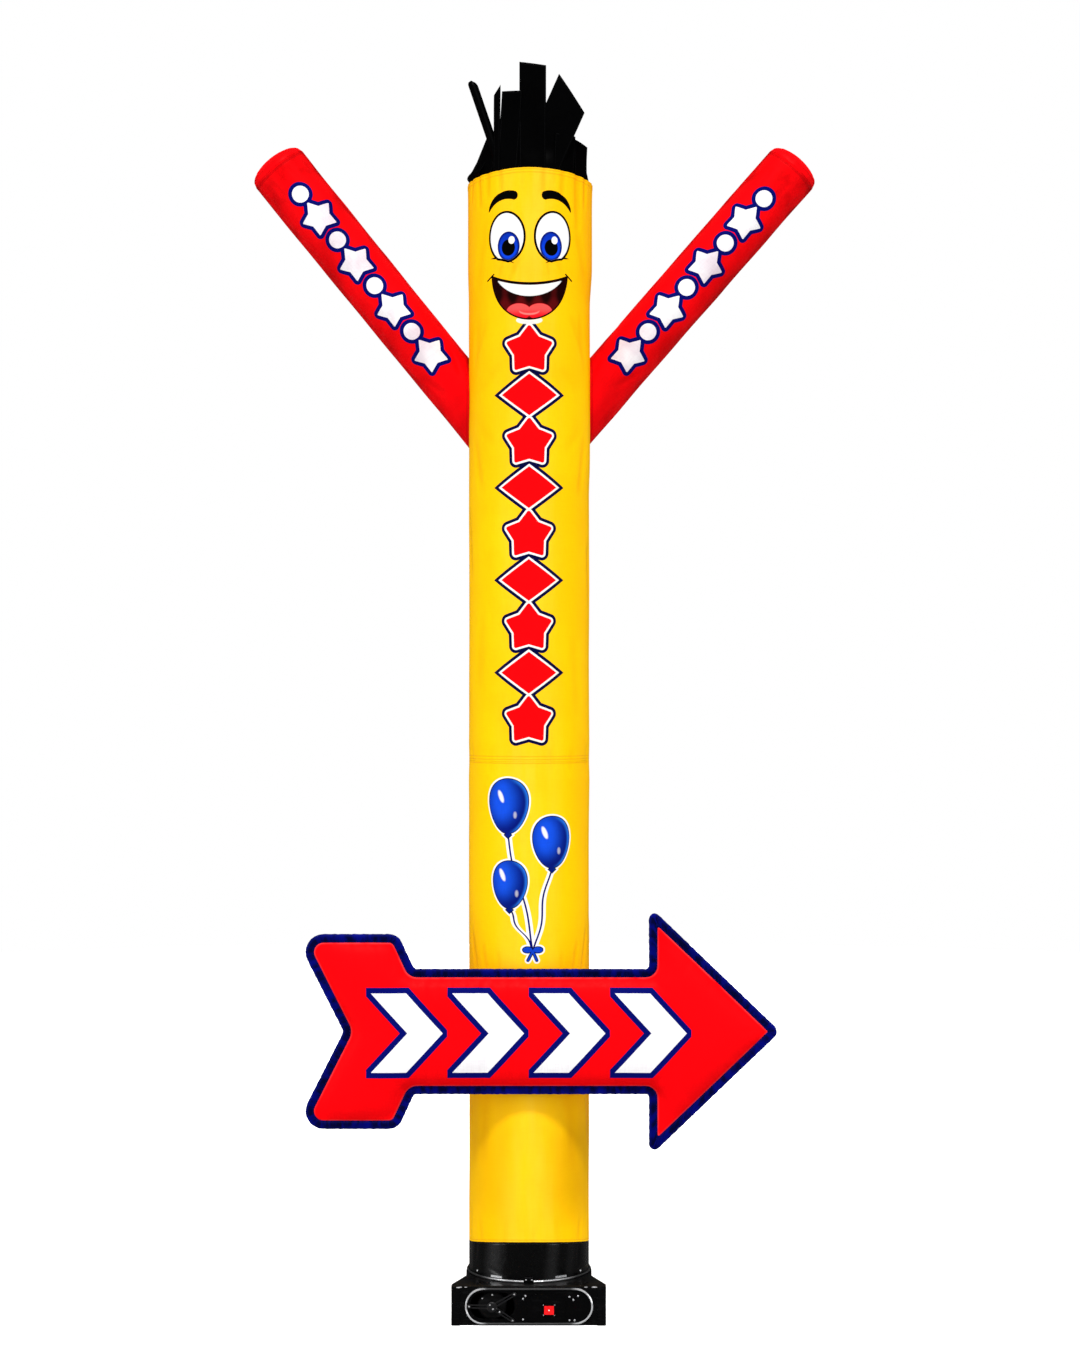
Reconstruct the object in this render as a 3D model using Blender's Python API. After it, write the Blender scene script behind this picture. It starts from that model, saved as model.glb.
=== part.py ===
"""Inflatable air dancer: a fabric tube with two arms, an arrow cushion and ribbon hair, on its blower.

Metres, +Z up. The origin is on the floor, under the centre of the blower's round outlet.
The dancer faces -Y, so +X is on its left hand side.
"""
import math
from collections import namedtuple

import bmesh
import bpy
from mathutils import Matrix, Vector
from mathutils.geometry import delaunay_2d_cdt

# ---- driving dimensions ----
GAP = 0.0003            # between pieces that touch on the real object
CLOTH = 0.002           # inflated cloth
TUBE_STEPS = 40         # sides of the tube, the outlet and the hoop

CASING_TOP = 0.098
CASING_WALL = 0.005
CASING_BEVEL = 0.003
CASING_HALF_WIDTH = 0.192
POST_FRONT = -0.192     # front of the two corner posts
PANEL_FRONT = -0.188    # front panel between the posts
POST_WIDTH = 0.022
SHOULDER_FRONT = -0.166  # the slanted shoulders run from the posts back to the drum
SHOULDER_BACK = -0.066
SHOULDER_STEP = 0.003
DRUM_RADIUS = 0.160     # round back of the casing
DRUM_STEP = math.radians(7.5)
OUTLET_WALL = 0.004
OUTLET_TOP = 0.150

CUFF_TOP = 0.190
BODY_SEAM = 1.397       # where the lower and the upper body are sewn together
RIM = 2.879             # open top of the head
HAIR_BOTTOM = 2.850     # lower edge of the band that holds the hair

Section = namedtuple("Section", "height radius shift")
TUBE_SECTIONS = (
    Section(height=0.090, radius=0.1528, shift=0.0002),
    Section(height=1.340, radius=0.1530, shift=0.0002),
    Section(height=1.397, radius=0.1518, shift=0.0002),
    Section(height=1.450, radius=0.1530, shift=0.0002),
    Section(height=2.060, radius=0.1530, shift=0.0002),
    Section(height=2.160, radius=0.1544, shift=0.0013),
    Section(height=2.545, radius=0.1546, shift=0.0013),
    Section(height=2.650, radius=0.1582, shift=0.0026),
    Section(height=2.860, radius=0.1582, shift=0.0026),
    Section(height=2.885, radius=0.1576, shift=0.0026),
)
Pucker = namedtuple("Pucker", "height reach depth lobes turn")
PUCKERS = (
    Pucker(height=BODY_SEAM, reach=0.10, depth=0.0012, lobes=8, turn=0.4),
    Pucker(height=0.73, reach=0.26, depth=0.0012, lobes=5, turn=1.1),
    Pucker(height=2.32, reach=0.16, depth=0.0014, lobes=6, turn=2.0),
    Pucker(height=RIM, reach=0.05, depth=0.0008, lobes=8, turn=0.9),
)
BODY_LEVELS_LOWER = (CUFF_TOP, 0.36, 0.54, 0.73, 0.92, 1.12, 1.34, BODY_SEAM)
BODY_LEVELS_UPPER = (BODY_SEAM, 1.45, 1.75, 2.06, 2.17, 2.32, 2.46, 2.56, 2.65, HAIR_BOTTOM, RIM)

ARM_DEPTH = 0.060       # the arms are sewn on a little behind the tube's middle
ARM_STEPS = 24
ARM_START = -0.135      # inside the tube, before the sleeve is trimmed to it
ARM_LEVELS = (0.0, 0.12, 0.26, 0.5, 0.75, 0.92)     # rings, as shares of the arm's length
ROOT_FOLD = 0.0016      # depth of the soft folds at the arm's root and at its tip
TIP_FOLD = 0.0008
ARM_LOBES = 5
CAP_HEIGHT = 0.035
CAP_TURNS = (0, 22, 44, 66)     # rings of the domed end, in degrees
Arm = namedtuple("Arm", "side root_x root_z tip_x tip_z root_radius tip_radius")
ARMS = (
    Arm(side="left", root_x=-0.156, root_z=2.3178, tip_x=-0.6450, tip_z=2.9113,
        root_radius=0.0703, tip_radius=0.0759),
    Arm(side="right", root_x=0.157, root_z=2.3202, tip_x=0.6755, tip_z=2.9112,
        root_radius=0.0694, tip_radius=0.0723),
)

ARROW_Y = -0.182        # the arrow's edge seam
ARROW_Z = 0.7285
BINDING = 0.0215
BINDING_SECTION = ((0.0, 0.0012), (0.35, 0.0045), (0.75, 0.0045), (1.0, 0.0022))    # share of width, half depth
CROWN_FRONT = 0.034
CROWN_BACK = 0.038
CROWN_ROLL = 0.085
CUSHION_EDGE = 0.004
CUSHION_PITCH = 0.040
CUSHION_LOOPS = (0.010, 0.030)      # rows of points along the edge, by distance from it
CORNER_RIDGE = (0.018, 0.036, 0.060)    # points down the middle of a corner, by distance from it
Corner = namedtuple("Corner", "x up radius")
ARROW_TOP = (           # upper half of the outline, from the notch round to the tip
    Corner(x=-0.4595, up=0.0, radius=0.019),
    Corner(x=-0.5825, up=0.2420, radius=0.045),
    Corner(x=-0.3245, up=0.2420, radius=0.036),
    Corner(x=-0.2844, up=0.1555, radius=0.012),
    Corner(x=0.2984, up=0.1555, radius=0.008),
    Corner(x=0.2984, up=0.3125, radius=0.0144),
    Corner(x=0.6248, up=0.0, radius=0.020),
)

HAIR_BAND = 0.0065
HAIR_CLOTH = 0.002
HAIR_CLEAR = 0.0020     # keeps a ribbon's edges off the tube's puckered rim
Ribbon = namedtuple("Ribbon", "turn inset width top lean droop cut")
# turn: degrees round the rim, -90 is the front. lean: degrees sideways, droop: degrees inwards.
# cut: how much lower the tip's right corner is than its left one.
RIBBONS = (
    Ribbon(turn=-86.0, inset=0.000, width=0.0665, top=3.138, lean=0, droop=0, cut=0.009),
    Ribbon(turn=-84.7, inset=0.002, width=0.0980, top=3.111, lean=24, droop=0, cut=0.098),
    Ribbon(turn=-106.8, inset=0.001, width=0.0470, top=3.066, lean=0, droop=0, cut=-0.002),
    Ribbon(turn=-118.0, inset=0.002, width=0.0260, top=3.099, lean=-19, droop=0, cut=0.002),
    Ribbon(turn=-122.5, inset=0.001, width=0.0210, top=3.081, lean=0, droop=0, cut=-0.024),
    Ribbon(turn=-143.0, inset=0.000, width=0.0600, top=2.955, lean=9, droop=10, cut=-0.026),
    Ribbon(turn=-167.0, inset=0.000, width=0.0600, top=2.950, lean=4, droop=19, cut=0.010),
    Ribbon(turn=170.0, inset=0.000, width=0.0560, top=2.945, lean=-5, droop=22, cut=-0.010),
    Ribbon(turn=146.0, inset=0.000, width=0.0580, top=2.975, lean=-6, droop=16, cut=0.014),
    Ribbon(turn=122.0, inset=0.000, width=0.0560, top=3.005, lean=-8, droop=4, cut=-0.018),
    Ribbon(turn=102.0, inset=0.001, width=0.0440, top=3.080, lean=3, droop=2, cut=0.010),
    Ribbon(turn=78.0, inset=0.000, width=0.0620, top=3.035, lean=-4, droop=3, cut=-0.030),
    Ribbon(turn=55.0, inset=0.000, width=0.0560, top=2.990, lean=9, droop=3, cut=0.012),
    Ribbon(turn=29.0, inset=0.000, width=0.0580, top=2.955, lean=3, droop=12, cut=-0.010),
    Ribbon(turn=4.0, inset=0.000, width=0.0500, top=2.946, lean=-3, droop=12, cut=0.008),
    Ribbon(turn=-31.0, inset=0.000, width=0.0600, top=2.961, lean=0, droop=1, cut=0.012),
    Ribbon(turn=-55.0, inset=0.001, width=0.0620, top=2.966, lean=2, droop=1, cut=0.004),
)

FASCIA_THICK = 0.003
FASCIA_X = 0.0008       # middle of the fascia, across
FASCIA_Z = 0.0488       # middle of the fascia, up
FASCIA_HALF_WIDTH = 0.1587
FASCIA_HALF_HEIGHT = 0.0448
RIM_WIDTH = 0.004
RIM_PROUD = 0.007
FITTING_THICK = 0.002

INLET = (Corner(-0.145, 0.016, 0.030), Corner(-0.035, 0.016, 0.030),
         Corner(-0.035, 0.083, 0.030), Corner(-0.145, 0.083, 0.030))
HUB_X = -0.091
HUB_Z = 0.047
HUB_RADIUS = 0.013
HUB_THICK = 0.007
LEG_THICK = 0.003
LEG_BAR = 0.003
LEG_SPREAD = 0.0042
Leg = namedtuple("Leg", "angle length")
BRACKET_LEGS = (Leg(angle=178, length=0.057), Leg(angle=30, length=0.064), Leg(angle=-33, length=0.061))
PAD_RADIUS = 0.0052
MOTOR_RADIUS = 0.036
MOTOR_FRONT = -0.180
MOTOR_BACK = -0.070
MOTOR_BOSS = 0.011

SWITCH_PLATE = (Corner(-0.004, 0.0105, 0.008), Corner(0.090, 0.0105, 0.008),
                Corner(0.090, 0.0795, 0.026), Corner(-0.004, 0.0795, 0.026))
SWITCH_X = 0.0504
SWITCH_Z = 0.0397
ROCKER_HALF_WIDTH = 0.0120
ROCKER_SWING = 0.0108   # from the pivot to the rocker's top and bottom edges
ROCKER_VALLEY = 0.0020  # from the pivot to the middle of the rocker's face
ROCKER_THROW = math.radians(14)
ROCKER_BACK = 0.0034
RUNNING_GAP = 0.0004
CUP_WALL = 0.0012
CUP_DEPTH = 0.0068      # behind the pivot
FLANGE = 0.0030
FLANGE_THICK = 0.0020

Screw = namedtuple("Screw", "x z")
FASCIA_SCREWS = (
    Screw(-0.0140, 0.0669), Screw(-0.0080, 0.0745), Screw(-0.0140, 0.0160),
    Screw(0.1010, 0.0719), Screw(0.1110, 0.0644), Screw(0.1223, 0.0743),
    Screw(0.1015, 0.0140), Screw(0.1140, 0.0140),
)
SCREW_RADIUS = 0.0024
SCREW_PROUD = 0.0018

HOOP_WIRE = 0.0025
HOOP_Z = CASING_TOP + 0.0036
CLASP_HALF_WIDTH = 0.012
CLASP_TOP = 0.1125
CLASP_DEPTH = 0.008
KEEPER_X = 0.080
KEEPER_Z = 0.1085
KEEPER_SIZE = (0.032, 0.002, 0.005)
STUD_TURN = 32          # degrees forward of the tube's sides
STUD_Z = 0.112
STUD_RADIUS = 0.003
GLAND_Z = 0.040

YELLOW = (0.95, 0.60, 0.005)
RED = (0.80, 0.006, 0.010)
NAVY = (0.010, 0.012, 0.16)
BLACK_CLOTH = (0.008, 0.008, 0.009)
BLACK_PLASTIC = (0.010, 0.010, 0.011)
STEEL = (0.62, 0.63, 0.65)


# ---- helpers ----
def material(name, colour, roughness, metallic=0.0):
    made = bpy.data.materials.new(name)
    made.use_nodes = True
    shader = made.node_tree.nodes["Principled BSDF"]
    shader.inputs["Base Color"].default_value = (*colour, 1.0)
    shader.inputs["Roughness"].default_value = roughness
    shader.inputs["Metallic"].default_value = metallic
    return made


def solid(name, points, faces, look):
    """One closed body from points and faces, its faces turned outwards."""
    mesh = bpy.data.meshes.new(name)
    mesh.from_pydata([tuple(p) for p in points], [], faces)
    shape = bmesh.new()
    shape.from_mesh(mesh)
    bmesh.ops.recalc_face_normals(shape, faces=shape.faces)
    shape.to_mesh(mesh)
    shape.free()
    mesh.materials.append(look)
    made = bpy.data.objects.new(name, mesh)
    bpy.context.collection.objects.link(made)
    return made


def combine(target, tool, operation):
    """Boolean of the target with the tool, which is used up."""
    step = target.modifiers.new(operation.lower(), "BOOLEAN")
    step.operation = operation
    step.object = tool
    step.solver = "EXACT"
    bpy.context.view_layer.update()
    done = bpy.data.meshes.new_from_object(target.evaluated_get(bpy.context.evaluated_depsgraph_get()))
    target.modifiers.clear()
    target.data = done
    bpy.data.objects.remove(tool, do_unlink=True)
    return target


def cut(target, tool):
    return combine(target, tool, "DIFFERENCE")


def fuse(target, tool):
    return combine(target, tool, "UNION")


def bevel(target, width, segments=2, angle=40):
    step = target.modifiers.new("bevel", "BEVEL")
    step.width = width
    step.segments = segments
    step.limit_method = "ANGLE"
    step.angle_limit = math.radians(angle)
    bpy.context.view_layer.update()
    done = bpy.data.meshes.new_from_object(target.evaluated_get(bpy.context.evaluated_depsgraph_get()))
    target.modifiers.clear()
    target.data = done
    return target


def loft(name, rings, look, closed=False):
    """Joins rings of equal length. The ends are capped, or the last ring meets the first."""
    count = len(rings[0])
    points = [p for ring in rings for p in ring]
    faces = []
    spans = len(rings) if closed else len(rings) - 1
    for level in range(spans):
        low = level * count
        high = ((level + 1) % len(rings)) * count
        for i in range(count):
            j = (i + 1) % count
            faces.append((low + i, low + j, high + j, high + i))
    if not closed:
        faces.append(tuple(range(count)))
        faces.append(tuple(range(len(points) - count, len(points))))
    return solid(name, points, faces, look)


def circle(radius, height, steps, place=Matrix(), turn=0.0):
    return [
        place @ Vector((radius * math.cos(turn + a), radius * math.sin(turn + a), height))
        for a in (2 * math.pi * i / steps for i in range(steps))
    ]


def turned(name, profile, steps, place, look, closed=False):
    """A turned piece from (radius, height) pairs along its own axis."""
    return loft(name, [circle(r, h, steps, place) for r, h in profile], look, closed)


def facing(x, y, z):
    """A frame at a point whose third axis comes straight out of the blower's front."""
    return Matrix.Translation((x, y, z)) @ Matrix.Rotation(math.radians(90), 4, "X")


def box(name, low, high, look):
    x = (low[0], high[0])
    y = (low[1], high[1])
    rings = [[(x[0], y[0], z), (x[1], y[0], z), (x[1], y[1], z), (x[0], y[1], z)] for z in (low[2], high[2])]
    return loft(name, rings, look)


def inset_corners(corners, distance):
    """The same outline, anticlockwise, moved in by a distance, its corners' radii following."""
    count = len(corners)
    moved = []
    for i, corner in enumerate(corners):
        before = corners[i - 1]
        after = corners[(i + 1) % count]
        into = Vector((corner.x - before.x, corner.up - before.up)).normalized()
        out = Vector((after.x - corner.x, after.up - corner.up)).normalized()
        turn = into.x * out.y - into.y * out.x
        shift = distance * math.tan(into.angle(out) / 2) * (1 if turn > 0 else -1)
        inward = Vector((-into.y, into.x))
        point = Vector((corner.x, corner.up)) + inward * distance - into * shift
        radius = corner.radius - distance if turn > 0 else corner.radius + distance
        moved.append(Corner(point.x, point.y, max(radius, 0.003)))
    return moved


def rounded(corners, arc=3, spacing=None, lengths=None):
    """Points round an outline: an arc at each corner and, with a spacing, points along its sides."""
    count = len(corners)
    arcs = []
    for i, corner in enumerate(corners):
        before = corners[i - 1]
        after = corners[(i + 1) % count]
        here = Vector((corner.x, corner.up))
        into = (here - Vector((before.x, before.up))).normalized()
        out = (Vector((after.x, after.up)) - here).normalized()
        half = into.angle(out) / 2
        start = here - into * corner.radius * math.tan(half)
        side = 1 if into.x * out.y - into.y * out.x > 0 else -1
        centre = start + Vector((-into.y, into.x)) * corner.radius * side
        spoke = start - centre
        arcs.append([centre + Matrix.Rotation(side * 2 * half * k / arc, 2) @ spoke for k in range(arc + 1)])
    points = []
    for i, stretch in enumerate(arcs):
        points.extend(stretch)
        if spacing:
            start = stretch[-1]
            end = arcs[(i + 1) % count][0]
            side_length = lengths[i] if lengths else (end - start).length
            pieces = max(1, round(side_length / spacing))
            points.extend(start.lerp(end, k / pieces) for k in range(1, pieces))
    return [(p.x, p.y) for p in points]


def upright(outline, y):
    """An outline in X and Z, stood up at a depth."""
    return [Vector((x, y, z)) for x, z in outline]


def plate(name, outline, front, back, look):
    return loft(name, [upright(outline, front), upright(outline, back)], look)


# ---- the cloth body ----
def tube_section(height):
    rows = TUBE_SECTIONS
    for low, high in zip(rows, rows[1:]):
        if height <= high.height:
            break
    share = min(max((height - low.height) / (high.height - low.height), 0.0), 1.0)
    share = share * share * (3 - 2 * share)
    radius = low.radius + (high.radius - low.radius) * share
    shift = low.shift + (high.shift - low.shift) * share
    return radius, shift


def tube_ring(height, offset):
    """One ring of the body's outer face, moved out by an offset, with the soft puckers near its seams."""
    radius, shift = tube_section(height)
    ring = []
    for i in range(TUBE_STEPS):
        angle = 2 * math.pi * i / TUBE_STEPS
        wave = sum(
            p.depth * math.exp(-((height - p.height) / p.reach) ** 2) * math.cos(p.lobes * angle + p.turn)
            for p in PUCKERS
        )
        r = radius + wave + offset
        ring.append(Vector((shift + r * math.cos(angle), r * math.sin(angle), height)))
    return ring


def tube_shell(name, levels, look, outer=0.0, thick=CLOTH):
    rings = [tube_ring(z, outer) for z in levels] + [tube_ring(z, outer - thick) for z in reversed(levels)]
    return loft(name, rings, look, closed=True)


def tube_tool(low, high, offset):
    """The space that the body fills between two heights, for cutting what is sewn to it."""
    levels = [low] + [z for z in BODY_LEVELS_LOWER + BODY_LEVELS_UPPER[1:] if low < z < high] + [high]
    return loft("tube_tool", [tube_ring(z, offset) for z in levels], bpy.data.materials["yellow_cloth"])


def seam_levels(levels):
    """Moves the end levels in by half a gap, so that two lengths of the body don't touch."""
    return (levels[0] + GAP / 2,) + tuple(levels[1:-1]) + (levels[-1] - GAP / 2,)


def arm_frame(arm):
    """Stands at the arm's root on the tube's side, its third axis along the arm."""
    root = Vector((arm.root_x, ARM_DEPTH, arm.root_z))
    tip = Vector((arm.tip_x, ARM_DEPTH, arm.tip_z))
    along = (tip - root).normalized()
    back = Vector((0, 1, 0))
    across = back.cross(along)
    frame = Matrix((across, back, along)).transposed().to_4x4()
    return Matrix.Translation(root) @ frame, (tip - root).length


def arm_radius(arm, share):
    return arm.root_radius + (arm.tip_radius - arm.root_radius) * max(share, 0.0)


def arm_ring(arm, along, length, offset, place):
    radius = arm_radius(arm, along / length) + offset
    fold = ROOT_FOLD * math.exp(-(max(along, 0.0) / 0.10) ** 2)
    fold += TIP_FOLD * math.exp(-((length - along) / 0.05) ** 2)
    ring = []
    for i in range(ARM_STEPS):
        angle = 2 * math.pi * i / ARM_STEPS
        r = radius + fold * math.cos(ARM_LOBES * angle + 0.6)
        ring.append(place @ Vector((r * math.cos(angle), r * math.sin(angle), along)))
    return ring


def make_arm(arm, body, look):
    place, length = arm_frame(arm)
    levels = [ARM_START] + [length * share for share in ARM_LEVELS] + [length - GAP / 2]
    rings = [arm_ring(arm, s, length, 0.0, place) for s in levels]
    rings += [arm_ring(arm, s, length, -CLOTH, place) for s in reversed(levels)]
    sleeve = loft(f"arm_{arm.side}", rings, look, closed=True)
    cut(sleeve, tube_tool(arm.root_z - 0.3, arm.root_z + 0.3, GAP))
    reach = (ARM_START, ARM_LEVELS[1] * length)
    cut(body, loft("hole", [arm_ring(arm, s, length, -CLOTH, place) for s in reach], look))

    inner = arm.tip_radius - CLOTH
    quarter = [math.radians(a) for a in CAP_TURNS]
    outer_curve = [(arm.tip_radius * math.cos(a), CAP_HEIGHT * math.sin(a)) for a in quarter]
    inner_curve = [(inner * math.cos(a), (CAP_HEIGHT - CLOTH) * math.sin(a)) for a in quarter]
    crown = place @ Matrix.Translation((0, 0, length + GAP / 2))
    cap_dome(f"arm_{arm.side}_cap", outer_curve, inner_curve, crown, look)


def cap_dome(name, outer_curve, inner_curve, place, look):
    """A closed end: two domes, one inside the other, joined at the seam."""
    outer = [circle(r, h, ARM_STEPS, place) for r, h in outer_curve]
    inner = [circle(r, h, ARM_STEPS, place) for r, h in inner_curve]
    points = [p for ring in reversed(outer) for p in ring] + [p for ring in inner for p in ring]
    points += [place @ Vector((0, 0, CAP_HEIGHT)), place @ Vector((0, 0, CAP_HEIGHT - CLOTH))]
    levels = len(outer) + len(inner)
    faces = []
    for level in range(levels - 1):
        for i in range(ARM_STEPS):
            j = (i + 1) % ARM_STEPS
            low = level * ARM_STEPS
            faces.append((low + i, low + j, low + ARM_STEPS + j, low + ARM_STEPS + i))
    for i in range(ARM_STEPS):
        j = (i + 1) % ARM_STEPS
        faces.append((i, j, levels * ARM_STEPS))
        last = (levels - 1) * ARM_STEPS
        faces.append((last + j, last + i, levels * ARM_STEPS + 1))
    return solid(name, points, faces, look)


# ---- the arrow ----
def arrow_corners():
    """The whole outline, anticlockwise seen from the front, from the notch."""
    lower = [Corner(c.x, ARROW_Z - c.up, c.radius) for c in ARROW_TOP]
    upper = [Corner(c.x, ARROW_Z + c.up, c.radius) for c in ARROW_TOP[-2:0:-1]]
    return lower + upper


def arrow_loop(corners, distance, spacing):
    lengths = [
        math.hypot(b.x - a.x, b.up - a.up) for a, b in zip(corners, corners[1:] + corners[:1])
    ]
    return rounded(inset_corners(corners, distance), arc=4, spacing=spacing, lengths=lengths)


def make_binding(corners, look):
    """A flat padded edging, thickest along its middle, all round the cushion's seam."""
    front = [(share, depth) for share, depth in BINDING_SECTION]
    section = front + [(share, -depth) for share, depth in reversed(front)]
    rings = [
        upright(arrow_loop(corners, share * (BINDING - GAP), 0.12), ARROW_Y - depth) for share, depth in section
    ]
    return loft("arrow_binding", rings, look, closed=True)


def distance_to_outline(point, outline):
    best = 1e9
    for i, a in enumerate(outline):
        b = outline[i - 1]
        run = b - a
        share = min(max((point - a).dot(run) / run.length_squared, 0.0), 1.0)
        best = min(best, (point - a - run * share).length)
    return best


def inside(point, outline):
    odd = False
    for i, a in enumerate(outline):
        b = outline[i - 1]
        if (a.y > point.y) != (b.y > point.y):
            if point.x < a.x + (point.y - a.y) * (b.x - a.x) / (b.y - a.y):
                odd = not odd
    return odd


def crown(distance):
    share = min(distance / CROWN_ROLL, 1.0)
    return math.sqrt(1 - (1 - share) ** 2)


def spread(points, more, edge, apart):
    """Adds the points that lie within the outline and stand apart from those already there."""
    kept = list(points)
    for p in more:
        if inside(p, edge) and all((p - other).length > apart for other in kept):
            kept.append(p)
    return kept


def corner_ridge(corners):
    """Points down the middle of each outward corner, where the crown's two slopes meet."""
    points = []
    for i, corner in enumerate(corners):
        here = Vector((corner.x, corner.up))
        before = (Vector((corners[i - 1].x, corners[i - 1].up)) - here).normalized()
        after = corners[(i + 1) % len(corners)]
        after = (Vector((after.x, after.up)) - here).normalized()
        if before.x * after.y - before.y * after.x < 0:
            middle = (before + after).normalized()
            points += [here + middle * step for step in CORNER_RIDGE]
    return points


def make_cushion(corners, look):
    """An air-filled arrow, crowned in front and behind, its back pressed against the tube."""
    edge = [Vector(p) for p in arrow_loop(corners, BINDING, 0.06)]
    points = list(edge)
    for step in CUSHION_LOOPS:
        loop = [Vector(p) for p in arrow_loop(corners, BINDING + step, 0.06)]
        points = spread(points, [p for p in loop if distance_to_outline(p, edge) > 0.9 * step], edge, 0.6 * step)
    points = spread(points, corner_ridge(inset_corners(corners, BINDING)), edge, 0.009)
    start = min(p.x for p in edge)
    columns = int((max(p.x for p in edge) - start) / CUSHION_PITCH) + 1
    row_pitch = CUSHION_PITCH * math.sqrt(3) / 2
    rows = int((max(p.y for p in edge) - ARROW_Z) / row_pitch)
    for row in range(-rows, rows + 1):
        for column in range(columns):
            p = Vector((start + (column + 0.5 * (row % 2)) * CUSHION_PITCH, ARROW_Z + row * row_pitch))
            if distance_to_outline(p, edge) > CUSHION_LOOPS[-1] + 0.4 * CUSHION_PITCH:
                points = spread(points, [p], edge, 0.45 * CUSHION_PITCH)
    rim = [(i, (i + 1) % len(edge)) for i in range(len(edge))]
    flat, _, triangles, _, _, _ = delaunay_2d_cdt(points, rim, [], 1, 1e-7)
    count = len(flat)
    rise = [crown(distance_to_outline(p, edge)) for p in flat]
    front = [Vector((p.x, ARROW_Y - CUSHION_EDGE / 2 - CROWN_FRONT * h, p.y)) for p, h in zip(flat, rise)]
    back = [Vector((p.x, ARROW_Y + CUSHION_EDGE / 2 + CROWN_BACK * h, p.y)) for p, h in zip(flat, rise)]
    faces = [tuple(t) for t in triangles] + [tuple(count + i for i in reversed(t)) for t in triangles]
    borders = {}
    for t in triangles:
        for a, b in zip(t, t[1:] + t[:1]):
            borders[(a, b)] = True
    for a, b in borders:
        if (b, a) not in borders:
            faces.append((b, a, count + a, count + b))
    cushion = solid("arrow_cushion", front + back, faces, look)
    height = ARROW_TOP[5].up
    return cut(cushion, tube_tool(ARROW_Z - height, ARROW_Z + height, GAP))


# ---- the hair ----
def make_ribbon(ribbon, look):
    """A flat ribbon rooted in the hair band, leaning sideways and inwards, its tip cut straight or aslant."""
    radius, shift = tube_section(RIM)
    slide = math.tan(math.radians(ribbon.lean))
    half = ribbon.width / 2 / math.cos(math.radians(ribbon.lean))
    reach = half + abs(slide) * (RIM - HAIR_BOTTOM)
    seat = math.sqrt((radius - CLOTH - HAIR_CLEAR) ** 2 - reach ** 2) - HAIR_CLOTH / 2 - ribbon.inset
    frame = (
        Matrix.Translation((shift, 0, HAIR_BOTTOM + 0.004))
        @ Matrix.Rotation(math.radians(ribbon.turn), 4, "Z")
        @ Matrix.Translation((seat, 0, 0))
        @ Matrix.Rotation(math.radians(-ribbon.droop), 4, "Y")
    )
    rise = (ribbon.top - HAIR_BOTTOM) / math.cos(math.radians(ribbon.droop))
    left_top = rise if ribbon.cut >= 0 else rise + ribbon.cut
    right_top = rise - ribbon.cut if ribbon.cut >= 0 else rise
    outline = (
        (-half, 0.0), (half, 0.0),
        (half + slide * right_top, right_top), (-half + slide * left_top, left_top),
    )
    faces = [
        [frame @ Vector((depth, y, z)) for y, z in outline] for depth in (-HAIR_CLOTH / 2, HAIR_CLOTH / 2)
    ]
    return loft("ribbon", faces, look)


def make_hair(look):
    band = tube_shell("hair", (HAIR_BOTTOM, RIM - 0.001), look, outer=-(CLOTH + GAP), thick=HAIR_BAND)
    for ribbon in RIBBONS:
        fuse(band, make_ribbon(ribbon, look))
    return band


# ---- the blower ----
def casing_outline(inset):
    """Plan of the casing, anticlockwise: front panel between two posts, slanted shoulders, round back.

    Moved in by an inset, for the hollow, its front runs straight behind the panel.
    """
    panel_x = CASING_HALF_WIDTH - POST_WIDTH
    panel_y = PANEL_FRONT + inset
    front = [(-panel_x, panel_y), (panel_x, panel_y)]
    front_y = panel_y
    if inset == 0:
        front_y = POST_FRONT
        front = [(-panel_x, POST_FRONT)] + front + [(panel_x, POST_FRONT)]
    edge = CASING_HALF_WIDTH - inset
    right = [(edge, front_y), (edge, SHOULDER_FRONT), (DRUM_RADIUS - SHOULDER_STEP - inset, SHOULDER_BACK)]
    radius = DRUM_RADIUS - inset
    turns = round(math.pi / DRUM_STEP) + 1
    first = math.pi / 2 - DRUM_STEP * turns / 2
    arc = [
        (radius * math.cos(first + i * DRUM_STEP), radius * math.sin(first + i * DRUM_STEP))
        for i in range(turns + 1)
    ]
    left = [(-x, y) for x, y in reversed(right)]
    return front + right + arc + left


def make_casing(look):
    outline = casing_outline(0.0)
    casing = loft("blower_casing", [[(x, y, z) for x, y in outline] for z in (0.0, CASING_TOP)], look)
    bevel(casing, CASING_BEVEL, segments=2, angle=60)
    outlet_radius = tube_section(0.1)[0] - CLOTH - GAP
    spigot = ((outlet_radius, 0.05), (outlet_radius, OUTLET_TOP))
    fuse(casing, turned("spigot", spigot, TUBE_STEPS, Matrix(), look))
    inner = casing_outline(CASING_WALL)
    hollow = [[(x, y, z) for x, y in inner] for z in (CASING_WALL, CASING_TOP - CASING_WALL)]
    cut(casing, loft("hollow", hollow, look))
    bore = outlet_radius - OUTLET_WALL
    cut(casing, turned("bore", ((bore, CASING_TOP - 2 * CASING_WALL), (bore, 0.2)), TUBE_STEPS, Matrix(), look))
    cut(casing, plate("inlet", rounded(INLET, arc=5), PANEL_FRONT - 0.02, PANEL_FRONT + 0.02, look))
    return casing


def fascia_outline(grow):
    radius = FASCIA_HALF_HEIGHT + grow
    corners = [
        Corner(FASCIA_X + sx * (FASCIA_HALF_WIDTH + grow), FASCIA_Z + sz * radius, radius - 1e-5)
        for sx, sz in ((-1, -1), (1, -1), (1, 1), (-1, 1))
    ]
    return rounded(corners, arc=8)


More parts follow.
